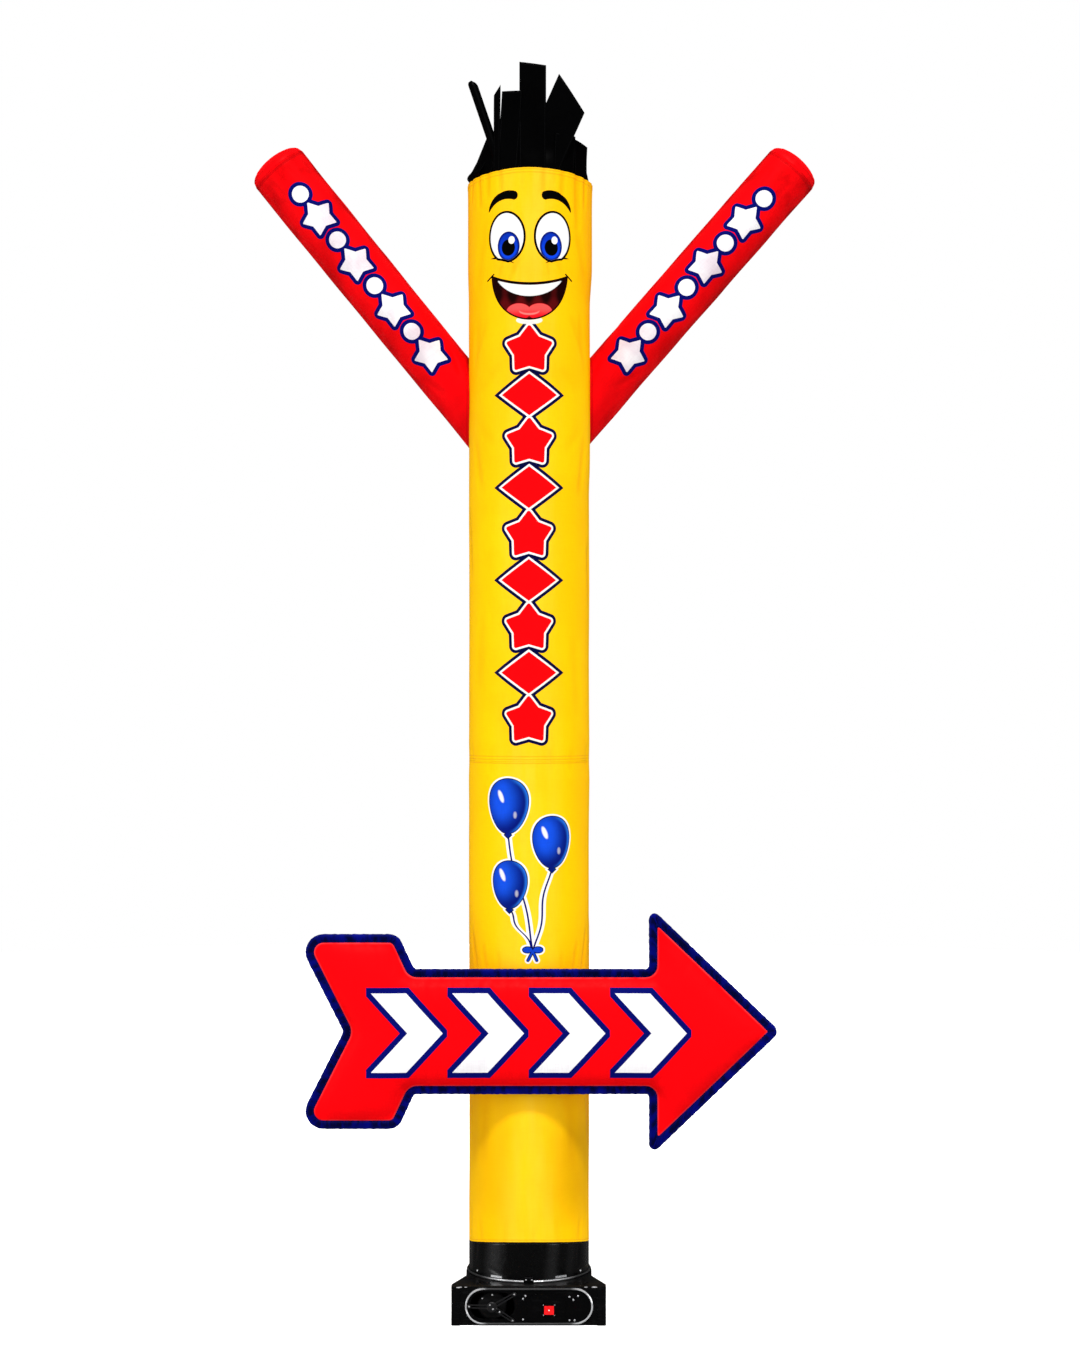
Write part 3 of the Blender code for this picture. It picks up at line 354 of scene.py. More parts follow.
def makeBodyLength(name, low, high, rows, look, holes=(), hem=0.0, dip=0.0, wave=False):
    # One length of the body. The dip lowers its top edge at the sides, where nothing holds it up.
    columns = bodyForm["columns"]
    u, v = np.meshgrid(girthTurns(columns), low + (high - low) * denseEnds(rows, 0.055))
    top = high - dip * np.sin(u / bodyForm["girthRadius"]) ** 2
    v = v - (high - top) * smoothStep((v - high + 0.08) / 0.08)
    bottom = low + (seamWave(u) if wave else 0.0)
    v = v + (bottom - low) * (1 - smoothStep((v - low) / 0.12))
    faces, spots = gridFaces(rows, columns, closed=True)
    run, away = u.copy(), np.minimum(v - bottom, top - v)
    keep = np.ones(len(faces), bool)
    for curve in holes:
        dropped = insideCurve(u[:, :-1], v[:, :-1], curve).ravel()
        cut = dropped[faces].all(axis=1)
        keep &= ~cut
        used = np.zeros(rows * columns, bool)
        used[faces[~cut]] = True
        # the points along the hole move on to its curve
        edge = np.nonzero((used & dropped).reshape(rows, columns))
        u[edge], v[edge] = curve[gapsTo(curve, u[edge], v[edge]).argmin(axis=1)].T
        middle = curve.mean(axis=0)
        near = (np.abs(u - middle[0]) < 0.25) & (np.abs(v - middle[1]) < 0.25)
        gaps = gapsTo(curve, u[near], v[near])
        closer = gaps.min(axis=1) < away[near]
        away[near] = np.where(closer, gaps.min(axis=1), away[near])
        run[near] = np.where(closer, runAlong(curve)[gaps.argmin(axis=1)], run[near])
    inner = bodyPoint(u[:, :-1], v[:, :-1], -bodyForm["sheet"])
    outer = bodyPoint(u[:, :-1], v[:, :-1])
    if hem:
        fold = 0.0006 * (1 - smoothStep((top - v - hem + 0.002) / 0.003))[:, :-1]
        outer = outer + (outer - inner) / bodyForm["sheet"] * fold[..., None]
    outer, inner, places = onlyUsed(faces[keep], outer.reshape(-1, 3), inner.reshape(-1, 3))
    clothMap, seamMap = (paired(*pair, spots[keep]) for pair in ((u, v), (run, away)))
    made = buildSheet(name, outer, inner, places, clothMap, seamMap, look)
    depth = creaseDepth(u[:, :-1], v[:, :-1], bodyCreases, girth)
    return markFoldShade(made, depth.ravel()[np.unique(faces[keep])])


def onlyUsed(faces, outer, inner):
    used = np.unique(faces)
    places = np.full(len(outer), -1)
    places[used] = np.arange(len(used))
    return outer[used], inner[used], places[faces]


def makeSleeve(arm, look, creases):
    columns, rows = armForm["columns"], armForm["rows"]
    long = armAxes(arm)[4]
    turn = -math.pi / 2 + (np.arange(columns + 1) / columns - 0.5) * 2 * math.pi
    start = armStart(arm, turn, bodyForm["clear"])
    s = start + (long - 0.0002 - start) * denseEnds(rows, 0.06)[:, None]
    turns = np.broadcast_to(turn, s.shape)[:, :-1]
    outer, inner = (armPoint(arm, turns, s[:, :-1], offset, creases) for offset in (0.0, -bodyForm["sheet"]))
    faces, spots = gridFaces(rows, columns, closed=True)
    across = np.broadcast_to((turn + math.pi / 2) * arm.tipRadius, s.shape)
    seamMap = paired(across, np.minimum(s - start, long - s), spots)
    made = buildSheet(f"sleeve{arm.side}", outer, inner, faces, paired(across, s, spots), seamMap, look)
    tipGirth = 2 * math.pi * arm.tipRadius
    return markFoldShade(made, creaseDepth(armAcross(arm, turns), s[:, :-1], creases, tipGirth))


def makeCap(arm, look):
    # the sleeve's closed end: a flat disc of cloth that the air pushes out
    steps = armForm["capSteps"]
    x, y = np.meshgrid(*[np.linspace(-1, 1, steps + 1)] * 2)
    discX, discY = x * np.sqrt(1 - y * y / 2), y * np.sqrt(1 - x * x / 2)
    share = np.minimum(np.hypot(discX, discY), 1.0)
    turn = np.arctan2(discY, discX)
    root, across, back, along, long = armAxes(arm)

    def dome(thinner):
        reach = arm.tipRadius - thinner
        rise = (armForm["capHeight"] - thinner) * np.sqrt(np.maximum(1 - share ** 2, 0.0)) ** 0.9
        fold = 0.0011 * np.exp(-((share - 0.86) / 0.10) ** 2)
        rise = rise + fold * (np.cos(13 * turn + 0.7) + 0.6 * np.cos(21 * turn + 2.1))
        rise = rise + 0.0012 * np.cos(3 * turn + 0.5) * share ** 2 * (1 - share)
        lobes = 0.0008 * np.cos(armForm["lobes"] * turn + 0.6)
        flat = discX[..., None] * across + discY[..., None] * back
        return (
            root + flat * (reach + lobes * share)[..., None]
            + (long + bodyForm["clear"] / 2 + np.maximum(rise, 0.0))[..., None] * along
        )

    faces, spots = gridFaces(steps + 1, steps + 1, closed=False)
    clothMap = paired(discX * arm.tipRadius, discY * arm.tipRadius, spots)
    run = np.where(share > 0.4, turn, 0.0) * arm.tipRadius
    seamMap = paired(run, (1 - share) * arm.tipRadius, spots)
    return buildSheet(f"cap{arm.side}", dome(0.0), dome(bodyForm["sheet"]), faces, clothMap, seamMap, look)


Corner = namedtuple("Corner", "x up radius")
arrowForm = {
    "y": -0.182,                # its edge seam, in front of the body
    "z": 0.7285,
    "binding": 0.0215,
    "tuck": 0.0036,             # how far its edge runs into the folded binding
    "span": 0.268,              # across the shaft, between its seams
    "pitch": 0.0075,            # between the points of its cloth
    "crownFront": 0.034,
    "crownBack": 0.038,
    "quilting": 0.5,            # strength of the folds along its seams
    "roll": 0.085,              # how far in from the edge the crown reaches its height
    "edge": 0.0007,             # half the thickness at the seam
    "loops": (0.0020, 0.0042, 0.0072, 0.0112),  # rows of points that follow its edge, inside it
    "inside": 0.0155,           # from its edge to the even lattice of points
    "contact": {                # with the body behind it: the space kept, the body's radius, then reaches
        "clear": 0.0015, "radius": 0.156, "limit": 0.1555, "start": 0.150, "wide": 0.1575, "sure": 0.148,
    },
    "corners": [Corner(*row) for row in (       # upper half, from the notch round to the tip
        (-0.4595, 0.0, 0.019), (-0.5825, 0.2420, 0.045), (-0.3245, 0.2420, 0.036), (-0.2844, 0.1555, 0.012),
        (0.2984, 0.1555, 0.008), (0.2984, 0.3125, 0.0144), (0.6248, 0.0, 0.020),
    )],
}


def cornerTurn(corners, i):
    # a corner's place, the way into it, its left, half its turn, and 1 or -1 for a turn to the left or right
    before, here, after = (np.array(corners[k % len(corners)][:2]) for k in (i - 1, i, i + 1))
    into, out = Vector(here - before).normalized(), Vector(after - here).normalized()
    side = 1 if into.x * out.y - into.y * out.x > 0 else -1
    return Vector(here), into, Vector((-into.y, into.x)), into.angle(out) / 2, side


def arrowCorners(inset):
    upper = arrowForm["corners"]
    whole = [Corner(c.x, -c.up, c.radius) for c in upper] + upper[-2:0:-1]
    moved = []
    for i, c in enumerate(whole):
        here, into, left, half, side = cornerTurn(whole, i)
        point = here + left * inset - into * (inset * math.tan(half) * side)
        moved.append(Corner(*point, max(c.radius - side * inset, 0.003)))
    return moved


def arrowLoop(inset, spacing):
    # Points round the arrow. Loops of any inset have the same count, so they can be joined up.
    corners, plain = arrowCorners(inset), arrowCorners(0.0)
    arcs = []
    for i, c in enumerate(corners):
        here, into, left, half, side = cornerTurn(corners, i)
        start = here - into * c.radius * math.tan(half)
        centre = start + left * c.radius * side
        arcs.append([centre + Matrix.Rotation(side * 2 * half * k / 8, 2) @ (start - centre) for k in range(9)])
    points = []
    for i, arc in enumerate(arcs):
        after = (i + 1) % len(arcs)
        pieces = max(2, round(math.dist(plain[i][:2], plain[after][:2]) / spacing))
        points += arc + [arc[-1].lerp(arcs[after][0], k / pieces) for k in range(1, pieces)]
    return np.array([tuple(p) for p in points])


def loopDistances(points, loop):
    # from each point to every side of the loop
    a, b = loop, np.roll(loop, -1, axis=0)
    run = b - a
    t = ((points[:, None] - a[None]) * run[None]).sum(axis=2) / (run * run).sum(axis=1)[None]
    return np.linalg.norm(points[:, None] - a[None] - np.clip(t, 0, 1)[..., None] * run[None], axis=2)


# the quilted look of the arrow: soft troughs that run in from its top and bottom seams
arrowCreases = creaseTable(
    (-262, 134, -252, 62, 8.5, 4.2), (-226, 134, -231, 88, 7, 3.4), (-196, 134, -187, 50, 9, 4.6),
    (-158, 134, -163, 80, 7, 3.6), (-127, 134, -120, 58, 8.5, 4.2), (-94, 134, -99, 90, 6.5, 3),
    (-61, 134, -54, 54, 8.5, 4.2), (-28, 134, -32, 92, 6.5, 2.8), (6, 134, 12, 66, 8, 3.6),
    (41, 134, 37, 94, 6.5, 2.6), (78, 134, 84, 72, 8, 3.2), (116, 134, 112, 96, 6.5, 2.4),
    (156, 134, 161, 80, 8, 2.6), (205, 134, 200, 92, 8, 2), (255, 134, 258, 98, 8, 1.8),
    (-255, -134, -248, -72, 8.5, 4), (-219, -134, -224, -92, 7, 3), (-186, -134, -178, -58, 9, 4.2),
    (-148, -134, -153, -86, 7, 3.2), (-114, -134, -107, -62, 8.5, 4), (-80, -134, -85, -94, 6.5, 2.8),
    (-46, -134, -40, -64, 8.5, 3.6), (-10, -134, -15, -96, 6.5, 2.6), (26, -134, 32, -74, 8, 3),
    (64, -134, 60, -98, 6.5, 2.4), (103, -134, 109, -80, 8, 2.8), (150, -134, 146, -94, 7.5, 2.2),
    (200, -134, 205, -90, 8, 2), (252, -134, 249, -98, 8, 1.6),
    # the tail and the head
    (-330, 214, -342, 150, 9, 2.6), (-385, 219, -382, 165, 8.5, 2.4), (-440, 219, -446, 170, 8.5, 2.2),
    (-500, 219, -494, 176, 8.5, 2), (-335, -214, -346, -155, 9, 2.4), (-392, -219, -388, -168, 8.5, 2.2),
    (-452, -219, -458, -172, 8.5, 2), (-508, -219, -502, -178, 8.5, 1.8), (-530, 130, -478, 108, 8.5, 2),
    (-505, 70, -452, 56, 8.5, 2), (-528, -126, -476, -104, 8.5, 2), (-503, -66, -450, -52, 8.5, 2),
    (-440, 0, -370, 4, 11, 2.4), (-285, 170, -325, 128, 11, 2.8), (-285, -170, -327, -126, 11, 2.6),
    (298, 140, 345, 98, 12, 2.8), (298, -140, 347, -96, 12, 2.8), (322, 230, 366, 196, 9, 2),
    (322, -230, 366, -196, 9, 2), (405, 186, 382, 142, 9, 2.2), (460, 132, 438, 96, 8.5, 2.2),
    (515, 80, 495, 50, 8, 2), (408, -183, 386, -140, 9, 2.2), (463, -129, 441, -94, 8.5, 2),
    (518, -77, 498, -48, 8, 2), (575, 4, 520, 0, 10, 2),
)


def puffed(flat, faces, held):
    # the height of a sheet that air pushes out and its seam holds down, from 0 to 1
    pairs = np.unique(np.sort(np.concatenate([faces[:, [k, (k + 1) % 3]] for k in range(3)]), axis=1), axis=0)
    a, b = np.concatenate([pairs, pairs[:, ::-1]]).T
    weight = 1 / np.linalg.norm(flat[a] - flat[b], axis=1) ** 2
    total = np.bincount(a, weight, len(flat))
    reach = np.bincount(a, minlength=len(flat)) / 4
    swell = np.zeros(len(flat))
    for _ in range(2600):
        pulled = (np.bincount(a, weight * swell[b], len(flat)) + reach) / total
        swell = np.where(held, 0.0, pulled)
    half = arrowForm["span"] / 2
    inward = half - np.sqrt(np.maximum(half ** 2 - 2 * swell, 0.0))
    share = np.clip(inward / arrowForm["roll"], 0, 1)
    return np.sqrt(1 - (1 - share) ** 2)


def arrowPoints(edge, inset):
    # rows that follow the edge, then an even lattice over the rest
    pitch = arrowForm["pitch"]
    points = [edge]
    for step in arrowForm["loops"]:
        loop = arrowLoop(inset + step, pitch)
        points.append(loop[loopDistances(loop, edge).min(axis=1) > 0.85 * step])
    low, high = edge.min(axis=0), edge.max(axis=0)
    x, y = np.meshgrid(np.arange(low[0], high[0], pitch), np.arange(low[1], high[1], pitch * math.sqrt(3) / 2))
    x = x + (np.arange(len(x)) % 2)[:, None] * pitch / 2
    lattice = np.stack([x.ravel(), y.ravel()], axis=1)
    lattice = lattice[insideCurve(x.ravel(), y.ravel(), edge)]
    points.append(lattice[loopDistances(lattice, edge).min(axis=1) > arrowForm["inside"]])
    return np.concatenate(points)


def makeArrow(look):
    # an air-filled arrow: two flat cloths sewn together, its back pressed against the body
    inset = arrowForm["binding"] - arrowForm["tuck"]
    edge = arrowLoop(inset, arrowForm["pitch"])
    rim = [(i, (i + 1) % len(edge)) for i in range(len(edge))]
    spread = [Vector(p) for p in arrowPoints(edge, inset)]
    flat, _, triangles, *_ = delaunay_2d_cdt(spread, rim, [], 1, 1e-7)
    flat, faces = np.array([tuple(p) for p in flat]), np.array(triangles)
    x, up = flat.T
    gaps = loopDistances(flat, edge)
    nearest = gaps.min(axis=1)
    inward = np.maximum(nearest - arrowForm["tuck"], 0.0)
    rise = puffed(flat, faces, inward < 1e-5)
    taper = smoothStep(inward / 0.010)
    folds = creaseDepth(x, up, arrowCreases) * taper * arrowForm["quilting"]
    ripple = 0.0006 * np.sin(38 * x + 3 * up) * np.sin(31 * up + 1.3) * taper
    front = arrowForm["y"] - arrowForm["edge"] - arrowForm["crownFront"] * rise - folds - ripple
    back = arrowForm["y"] + arrowForm["edge"] + arrowForm["crownBack"] * rise + 0.6 * folds
    z = up + arrowForm["z"]
    # The back lies flat on the body. A few steps find the point of the body behind each of its points.
    touch = arrowForm["contact"]
    side = np.clip(x - bodySection(z)[1], -touch["start"], touch["start"])
    for _ in range(3):
        turn = np.arctan2(-np.sqrt(np.maximum(touch["radius"] ** 2 - side ** 2, 0)), side)
        wall = bodyPoint((turn + math.pi / 2) * bodyForm["girthRadius"], z, touch["clear"])
        moved = side + (x - wall[:, 0]) * (np.abs(x) < touch["sure"])
        side = np.clip(moved, -touch["limit"], touch["limit"])
    back = np.where(np.abs(x) < touch["wide"], np.minimum(back, wall[:, 1]), back)
    outer, inner = (np.stack([x, y, z], axis=1) for y in (front, back))
    seamMap = paired(runAlong(edge)[gaps.argmin(axis=1)], nearest, faces)
    return buildSheet("arrow", outer, inner, faces, flat[faces], seamMap, look)


lumpForm = {"pitches": (0.0190, 0.0270, 0.0118, 0.11), "aside": 0.0006, "thick": 0.0008}
# across the edging, from its outer fold: share of its width, half its thickness. The last four turn in again.
bindingSection = (
    (0.0, 0.0016), (0.03, 0.0030), (0.12, 0.0043), (0.30, 0.0053), (0.50, 0.0056), (0.70, 0.0051),
    (0.86, 0.0040), (0.95, 0.0032), (0.99, 0.0025), (1.0, 0.0019), (1.0, 0.0014), (0.97, 0.0012),
    (0.80, 0.0012),
)


def makeBinding(look):
    # a flat padded edging all round the arrow's seam, gathered into small lumps by its stitching
    spacing, width = 0.004, arrowForm["binding"]
    outline = arrowLoop(0.0, spacing)
    run = runAlong(outline)
    total = run[-1] + math.dist(outline[0], outline[-1])
    waves = [round(total / pitch) * 2 * math.pi / total for pitch in lumpForm["pitches"]]
    lumps = (
        0.45 * np.cos(waves[0] * run + 1.4 * np.sin(waves[3] * run))
        + 0.35 * np.cos(waves[1] * run + 2.0) + 0.2 * np.cos(waves[2] * run + 0.5)
    )
    outer, inner = [], []
    for place, (share, half) in enumerate(bindingSection):
        loop = arrowLoop(share * width, spacing)
        inward = arrowLoop(share * width + 0.001, spacing) - loop
        inward /= np.linalg.norm(inward, axis=1)[:, None]
        x, up = (loop - inward * (lumpForm["aside"] * lumps * (1 - share))[:, None]).T
        swell = math.sin(math.pi * min(max(share, 0.02), 0.98)) if place < 9 else 0.0
        thick = half + lumpForm["thick"] * lumps * swell
        for side, depth in ((outer, -thick), (inner, 0.9 * thick)):
            side.append(np.stack([x, arrowForm["y"] + depth, up + arrowForm["z"]], axis=1))
    faces, spots = gridFaces(len(bindingSection), len(outline), closed=True)
    runs, across = np.meshgrid(np.append(run, total), [share * width for share, half in bindingSection])
    return buildSheet(
        "arrowBinding", np.concatenate(outer), np.concatenate(inner), faces, paired(runs, across, spots),
        paired(runs, width - across, spots), look,
    )


Ribbon = namedtuple("Ribbon", "turn inset width top lean droop cut layer curl sway")
# turn: degrees round the rim, -90 is the front. curl: how far the middle stands out. sway: bend near the tip.
ribbons = [Ribbon(*row) for row in (
    (-87.2, 0.000, 0.0665, 3.139, 0, 0, 0.009, 0, 0.0030, 0.0035),
    (-86.0, 0.002, 0.0980, 3.115, 24, 0, 0.098, 1, 0.0050, -0.0040),
    (-113.2, 0.001, 0.0530, 3.068, 4.6, 0, 0.0015, 1, 0.0025, 0.0030),
    (-116.7, 0.002, 0.0325, 3.108, -20.5, 0, 0.002, 2, 0.0000, 0.0020),
    (-123.1, 0.001, 0.0205, 3.086, 0, 0, -0.024, 0, 0.0015, -0.0025),
    (-143.0, 0.000, 0.0600, 2.955, 9, 10, -0.026, 0, 0.0030, 0.0040),
    (-167.0, 0.000, 0.0600, 2.974, 4, 0, 0.014, 0, 0.0010, 0.0000),
    (170.0, 0.000, 0.0560, 2.945, -5, 22, -0.010, 0, 0.0030, -0.0040),
    (146.0, 0.000, 0.0580, 2.975, -6, 16, 0.014, 0, 0.0035, 0.0050),
    (122.0, 0.000, 0.0560, 3.005, -8, 4, -0.018, 0, -0.0030, 0.0040),
    (102.0, 0.001, 0.0440, 3.080, 3, 2, 0.010, 0, 0.0025, -0.0050),
    (78.0, 0.000, 0.0620, 3.035, -4, 3, -0.030, 0, 0.0030, 0.0045),
    (55.0, 0.000, 0.0560, 2.990, 9, 3, 0.012, 0, -0.0025, 0.0040),
    (29.0, 0.000, 0.0580, 2.955, 3, 12, -0.010, 0, 0.0030, 0.0050),
    (4.0, 0.000, 0.0500, 2.946, -3, 12, 0.008, 0, 0.0025, -0.0035),
    (-31.0, 0.000, 0.0600, 2.957, 0, 1, 0.012, 0, 0.0030, 0.0020),
    (-55.0, 0.001, 0.0620, 2.966, 2, 1, 0.004, 1, 0.0030, 0.0030),
    (-154.0, 0.000, 0.0560, 2.974, 3, 0, 0.006, 1, 0.0010, 0.0000),
)]
hairForm = {
    "bottom": 2.850, "sheet": 0.0009, "tape": 0.0022, "clear": 0.0004, "rollWidth": 0.046, "rollRadius": 0.0118,
    "lift": 0.004,              # of the strips' lower ends above the band's
    "release": 0.055,           # over which a strip leaves the round of the band
    "behind": 0.0035, "perLayer": 0.0016,       # from the body's cloth to the strips, and between them
    "ripple": 0.0011, "twist": 0.004, "roundTip": 0.952,
}
rolledRibbon = 3        # its place in the table
floppedRibbons = (6, 17)        # hang out over the rim, then fold inwards
flop = {"out": 0.0074, "at": 0.023, "reach": 0.009, "slope": 0.48, "soft": 0.012}


def ribbonPatch(index):
    r = ribbons[index]
    rolled = index == rolledRibbon
    radius, shift = bodySection(np.array(bodyForm["rim"]))
    slide = math.tan(math.radians(r.lean))
    half = r.width / 2 / math.cos(math.radians(r.lean))
    reach = half + abs(slide) * (bodyForm["rim"] - hairForm["bottom"])
    seat = math.sqrt((radius - 0.004) ** 2 - reach ** 2) - 0.001 - r.inset
    place = (
        Matrix.Translation((shift, 0, hairForm["bottom"] + hairForm["lift"]))
        @ Matrix.Rotation(math.radians(r.turn), 4, "Z")
        @ Matrix.Translation((seat, 0, 0))
        @ Matrix.Rotation(math.radians(-r.droop), 4, "Y")
    )
    rise = (r.top - hairForm["bottom"]) / math.cos(math.radians(r.droop))
    leftTop, rightTop = rise + min(r.cut, 0), rise - max(r.cut, 0)
    rows, columns = 56, 26 if rolled else 14
    t, w = np.meshgrid(np.linspace(0, 1, rows), np.linspace(0, 1, columns), indexing="ij")
    top = leftTop + (rightTop - leftTop) * w
    if rolled:
        top = rise - 0.003 * (2 * w - 1) ** 2
    up = t * top
    y = -half + 2 * half * w + slide * up
    rim = bodyForm["rim"] - hairForm["bottom"] - hairForm["lift"]
    free = smoothStep((up - rim) / hairForm["release"])
    tapeRadius = radius - bodyForm["sheet"] - hairForm["behind"] - hairForm["perLayer"] * r.layer
    onBand = np.sqrt(np.maximum(tapeRadius ** 2 - y ** 2, 0)) - seat
    high = np.clip((up - rim) / (rise - rim), 0, 1.2)
    bend = r.curl * (1 - (2 * w - 1) ** 2) * high + r.sway * high ** 2
    bend = bend + hairForm["ripple"] * np.sin(34 * up + 5 * index + 3 * w) * high
    twist = hairForm["twist"] * math.sin(2.1 * index + 0.6) * (2 * w - 1) * high
    out = onBand * (1 - free) + (bend + twist) * free
    if index in floppedRibbons:
        past = up - flop["at"]
        hang = np.exp(-((past / flop["reach"]) ** 2)) + 0.7 * smoothStep(past / 0.02 + 0.5)
        out = out + flop["out"] * hang - flop["slope"] * (past + np.hypot(past, flop["soft"])) / 2
    wide = 2 * half * w
    if rolled:
        roll = free * hairForm["rollWidth"] / hairForm["rollRadius"] / 2
        angle = (2 * w - 1) * np.maximum(roll, 1e-3)
        coil = hairForm["rollWidth"] / 2 / np.maximum(roll, 1e-3)
        middle = slide * up
        aside = coil * np.sin(angle) * ((1 - free) * r.width / hairForm["rollWidth"] + free)
        y = np.where(free > 0, middle + aside, y)
        out = onBand * (1 - free) + free * (coil * np.cos(angle) - coil)
        # its tip is closed to a round end
        past = (t - hairForm["roundTip"]) / (1 - hairForm["roundTip"])
        shrinkTip = np.sqrt(np.clip(1 - past.clip(0, 1) ** 2, 0.02, 1))
        y = middle + (y - middle) * shrinkTip
        out = out * shrinkTip - hairForm["rollRadius"] * (1 - shrinkTip) * free
        wide = w * hairForm["rollWidth"]
    flat = np.stack([out, y, up], axis=-1)
    normal = np.cross(np.gradient(flat, axis=1), np.gradient(flat, axis=0))
    normal /= np.linalg.norm(normal, axis=-1)[..., None] + 1e-12
    spin = np.array(place.to_3x3())
    world = flat @ spin.T + np.array(place.translation)
    normal = normal @ spin.T
    outer, inner = world + normal * hairForm["sheet"] / 2, world - normal * hairForm["sheet"] / 2
    faces, spots = gridFaces(rows, columns, closed=False)
    edge = np.minimum(np.minimum(w, 1 - w) * 2 * half, top - up)
    clothMap, seamMap = paired(wide + 0.13 * index, up, spots), paired(up, edge, spots)
    return outer.reshape(-1, 3), inner.reshape(-1, 3), faces, clothMap, seamMap


def bandPatch():
    columns, rows = 160, 8
    u, share = np.meshgrid(girthTurns(columns), np.linspace(0, 1, rows))
    top = bodyForm["rim"] - 0.0015 - bodyForm["rimDip"] * np.sin(u / bodyForm["girthRadius"]) ** 2
    v = hairForm["bottom"] + (top - hairForm["bottom"]) * share
    outside = -bodyForm["sheet"] - hairForm["clear"]
    outer, inner = (bodyPoint(u[:, :-1], v[:, :-1], off) for off in (outside, outside - hairForm["tape"]))
    faces, spots = gridFaces(rows, columns, closed=True)
    clothMap, seamMap = paired(u, v, spots), paired(u, np.minimum(v - v[0], top - v), spots)
    return outer.reshape(-1, 3), inner.reshape(-1, 3), faces, clothMap, seamMap


def makeHair(look):
    patches = [bandPatch()] + [ribbonPatch(i) for i in range(len(ribbons))]
    outer, inner, faces, clothMap, seamMap = zip(*patches)
    before = np.cumsum([0] + [len(part) for part in outer])
    faces = [part + start for part, start in zip(faces, before)]
    joined = (np.concatenate(part) for part in (outer, inner, faces, clothMap, seamMap))
    return buildSheet("hairRibbons", *joined, look)


def hairArea():
    total = girth * (bodyForm["rim"] - hairForm["bottom"])
    for i, r in enumerate(ribbons):
        wide = hairForm["rollWidth"] if i == rolledRibbon else r.width
        total += wide * (r.top - hairForm["bottom"] - abs(r.cut) / 2)
    return total


cuffForm = {"sheet": 0.0014, "rows": 60}
cuffCreases = creaseTable(
    (-208, 186, -196, 112, 10, 1.3), (-158, 190, -166, 140, 8.5, 1.1), (-112, 128, -60, 110, 7.5, 1),
    (-70, 190, -64, 148, 8.5, 0.9), (-18, 150, 30, 118, 8, 0.8), (40, 190, 36, 152, 8, 0.8),
    (92, 190, 104, 124, 9, 1.2), (150, 188, 144, 130, 9, 1.2), (205, 190, 214, 116, 9.5, 1.3),
    (285, 188, 278, 120, 9.5, 1.3), (370, 190, 378, 118, 9.5, 1.2), (450, 188, 444, 122, 9.5, 1.2),
    (-290, 190, -283, 118, 9.5, 1.3), (-372, 188, -380, 122, 9.5, 1.2), (-448, 190, -441, 120, 9.5, 1.2),
)


def makeCuff(look):
    # the black cloth that slips over the blower's outlet
    columns, rows = bodyForm["columns"], cuffForm["rows"]
    low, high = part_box("cuff")[0].z, bodyForm["cuffTop"] - 0.0003
    u, v = np.meshgrid(girthTurns(columns), np.linspace(low, high, rows))
    v = v + seamWave(u) * (v - low) / (high - low)
    fold = creaseDepth(u, v, cuffCreases, girth)
    # drawn in a little where the hoop of wire ties it
    tie = -0.0006 * np.exp(-((v - low - 0.004) / 0.004) ** 2)
    outer = bodyPoint(u, v, 0.0, folds=False)
    inner = bodyPoint(u, v, -cuffForm["sheet"], folds=False)
    outward = (outer - inner) / cuffForm["sheet"]
    move = outward * ((fold + tie) * smoothStep((v - low) / 0.02 + 0.2))[..., None]
    outer, inner = (outer + move)[:, :-1], (inner + move)[:, :-1]
    faces, spots = gridFaces(rows, columns, closed=True)
    seamMap = paired(u, np.minimum(v - low, high + seamWave(u) - v), spots)
    return buildSheet("cuffCloth", outer, inner, faces, paired(u, v, spots), seamMap, look)


class Wire:
    # a socket that can be added, multiplied and so on
    def __init__(self, tree, socket):
        self.tree, self.socket = tree, socket

    def __add__(self, other):
        return calc("ADD", self, other)

    def __sub__(self, other):
        return calc("SUBTRACT", self, other)

    def __rsub__(self, other):
        return calc("SUBTRACT", other, self)

    def __mul__(self, other):
        return calc("MULTIPLY", self, other)

    def __truediv__(self, other):
        return calc("DIVIDE", self, other)

    def __rtruediv__(self, other):
        return calc("DIVIDE", other, self)

    def __neg__(self):
        return calc("SUBTRACT", 0.0, self)

    def __abs__(self):
        return calc("ABSOLUTE", self)

    __radd__ = __add__
    __rmul__ = __mul__


def feed(tree, socket, value):
    if isinstance(value, Wire):
        tree.links.new(value.socket, socket)
    elif socket.type == "RGBA" and len(value) == 3:
        socket.default_value = (*value, 1.0)
    else:
        socket.default_value = value


def addNode(tree, kind, *inputs, **settings):
    # each input is a socket's name or place and its value
    node = tree.nodes.new("ShaderNode" + kind)
    for label, value in settings.items():
        setattr(node, label, value)
    for label, value in inputs:
        feed(tree, node.inputs[label], value)
    return node


def treeOf(values):
    return next(value.tree for value in values if isinstance(value, Wire))


def calc(operation, *values):
    tree = treeOf(values)
    return Wire(tree, addNode(tree, "Math", *enumerate(values), operation=operation).outputs[0])


def lower(a, b):
    return calc("MINIMUM", a, b)


def higher(a, b):
    return calc("MAXIMUM", a, b)


def root(value):
    return calc("SQRT", value)


def ramp(value, low, high, toLow=0.0, toHigh=1.0, kind="SMOOTHSTEP"):
    inputs = zip(("Value", "From Min", "From Max", "To Min", "To Max"), (value, low, high, toLow, toHigh))
    return Wire(value.tree, addNode(value.tree, "MapRange", *inputs, interpolation_type=kind).outputs[0])


def within(distance, soft=0.0006):
    # 1 where the distance is below nothing, with a soft edge
    return ramp(distance, soft / 2, -soft / 2, kind="LINEAR")


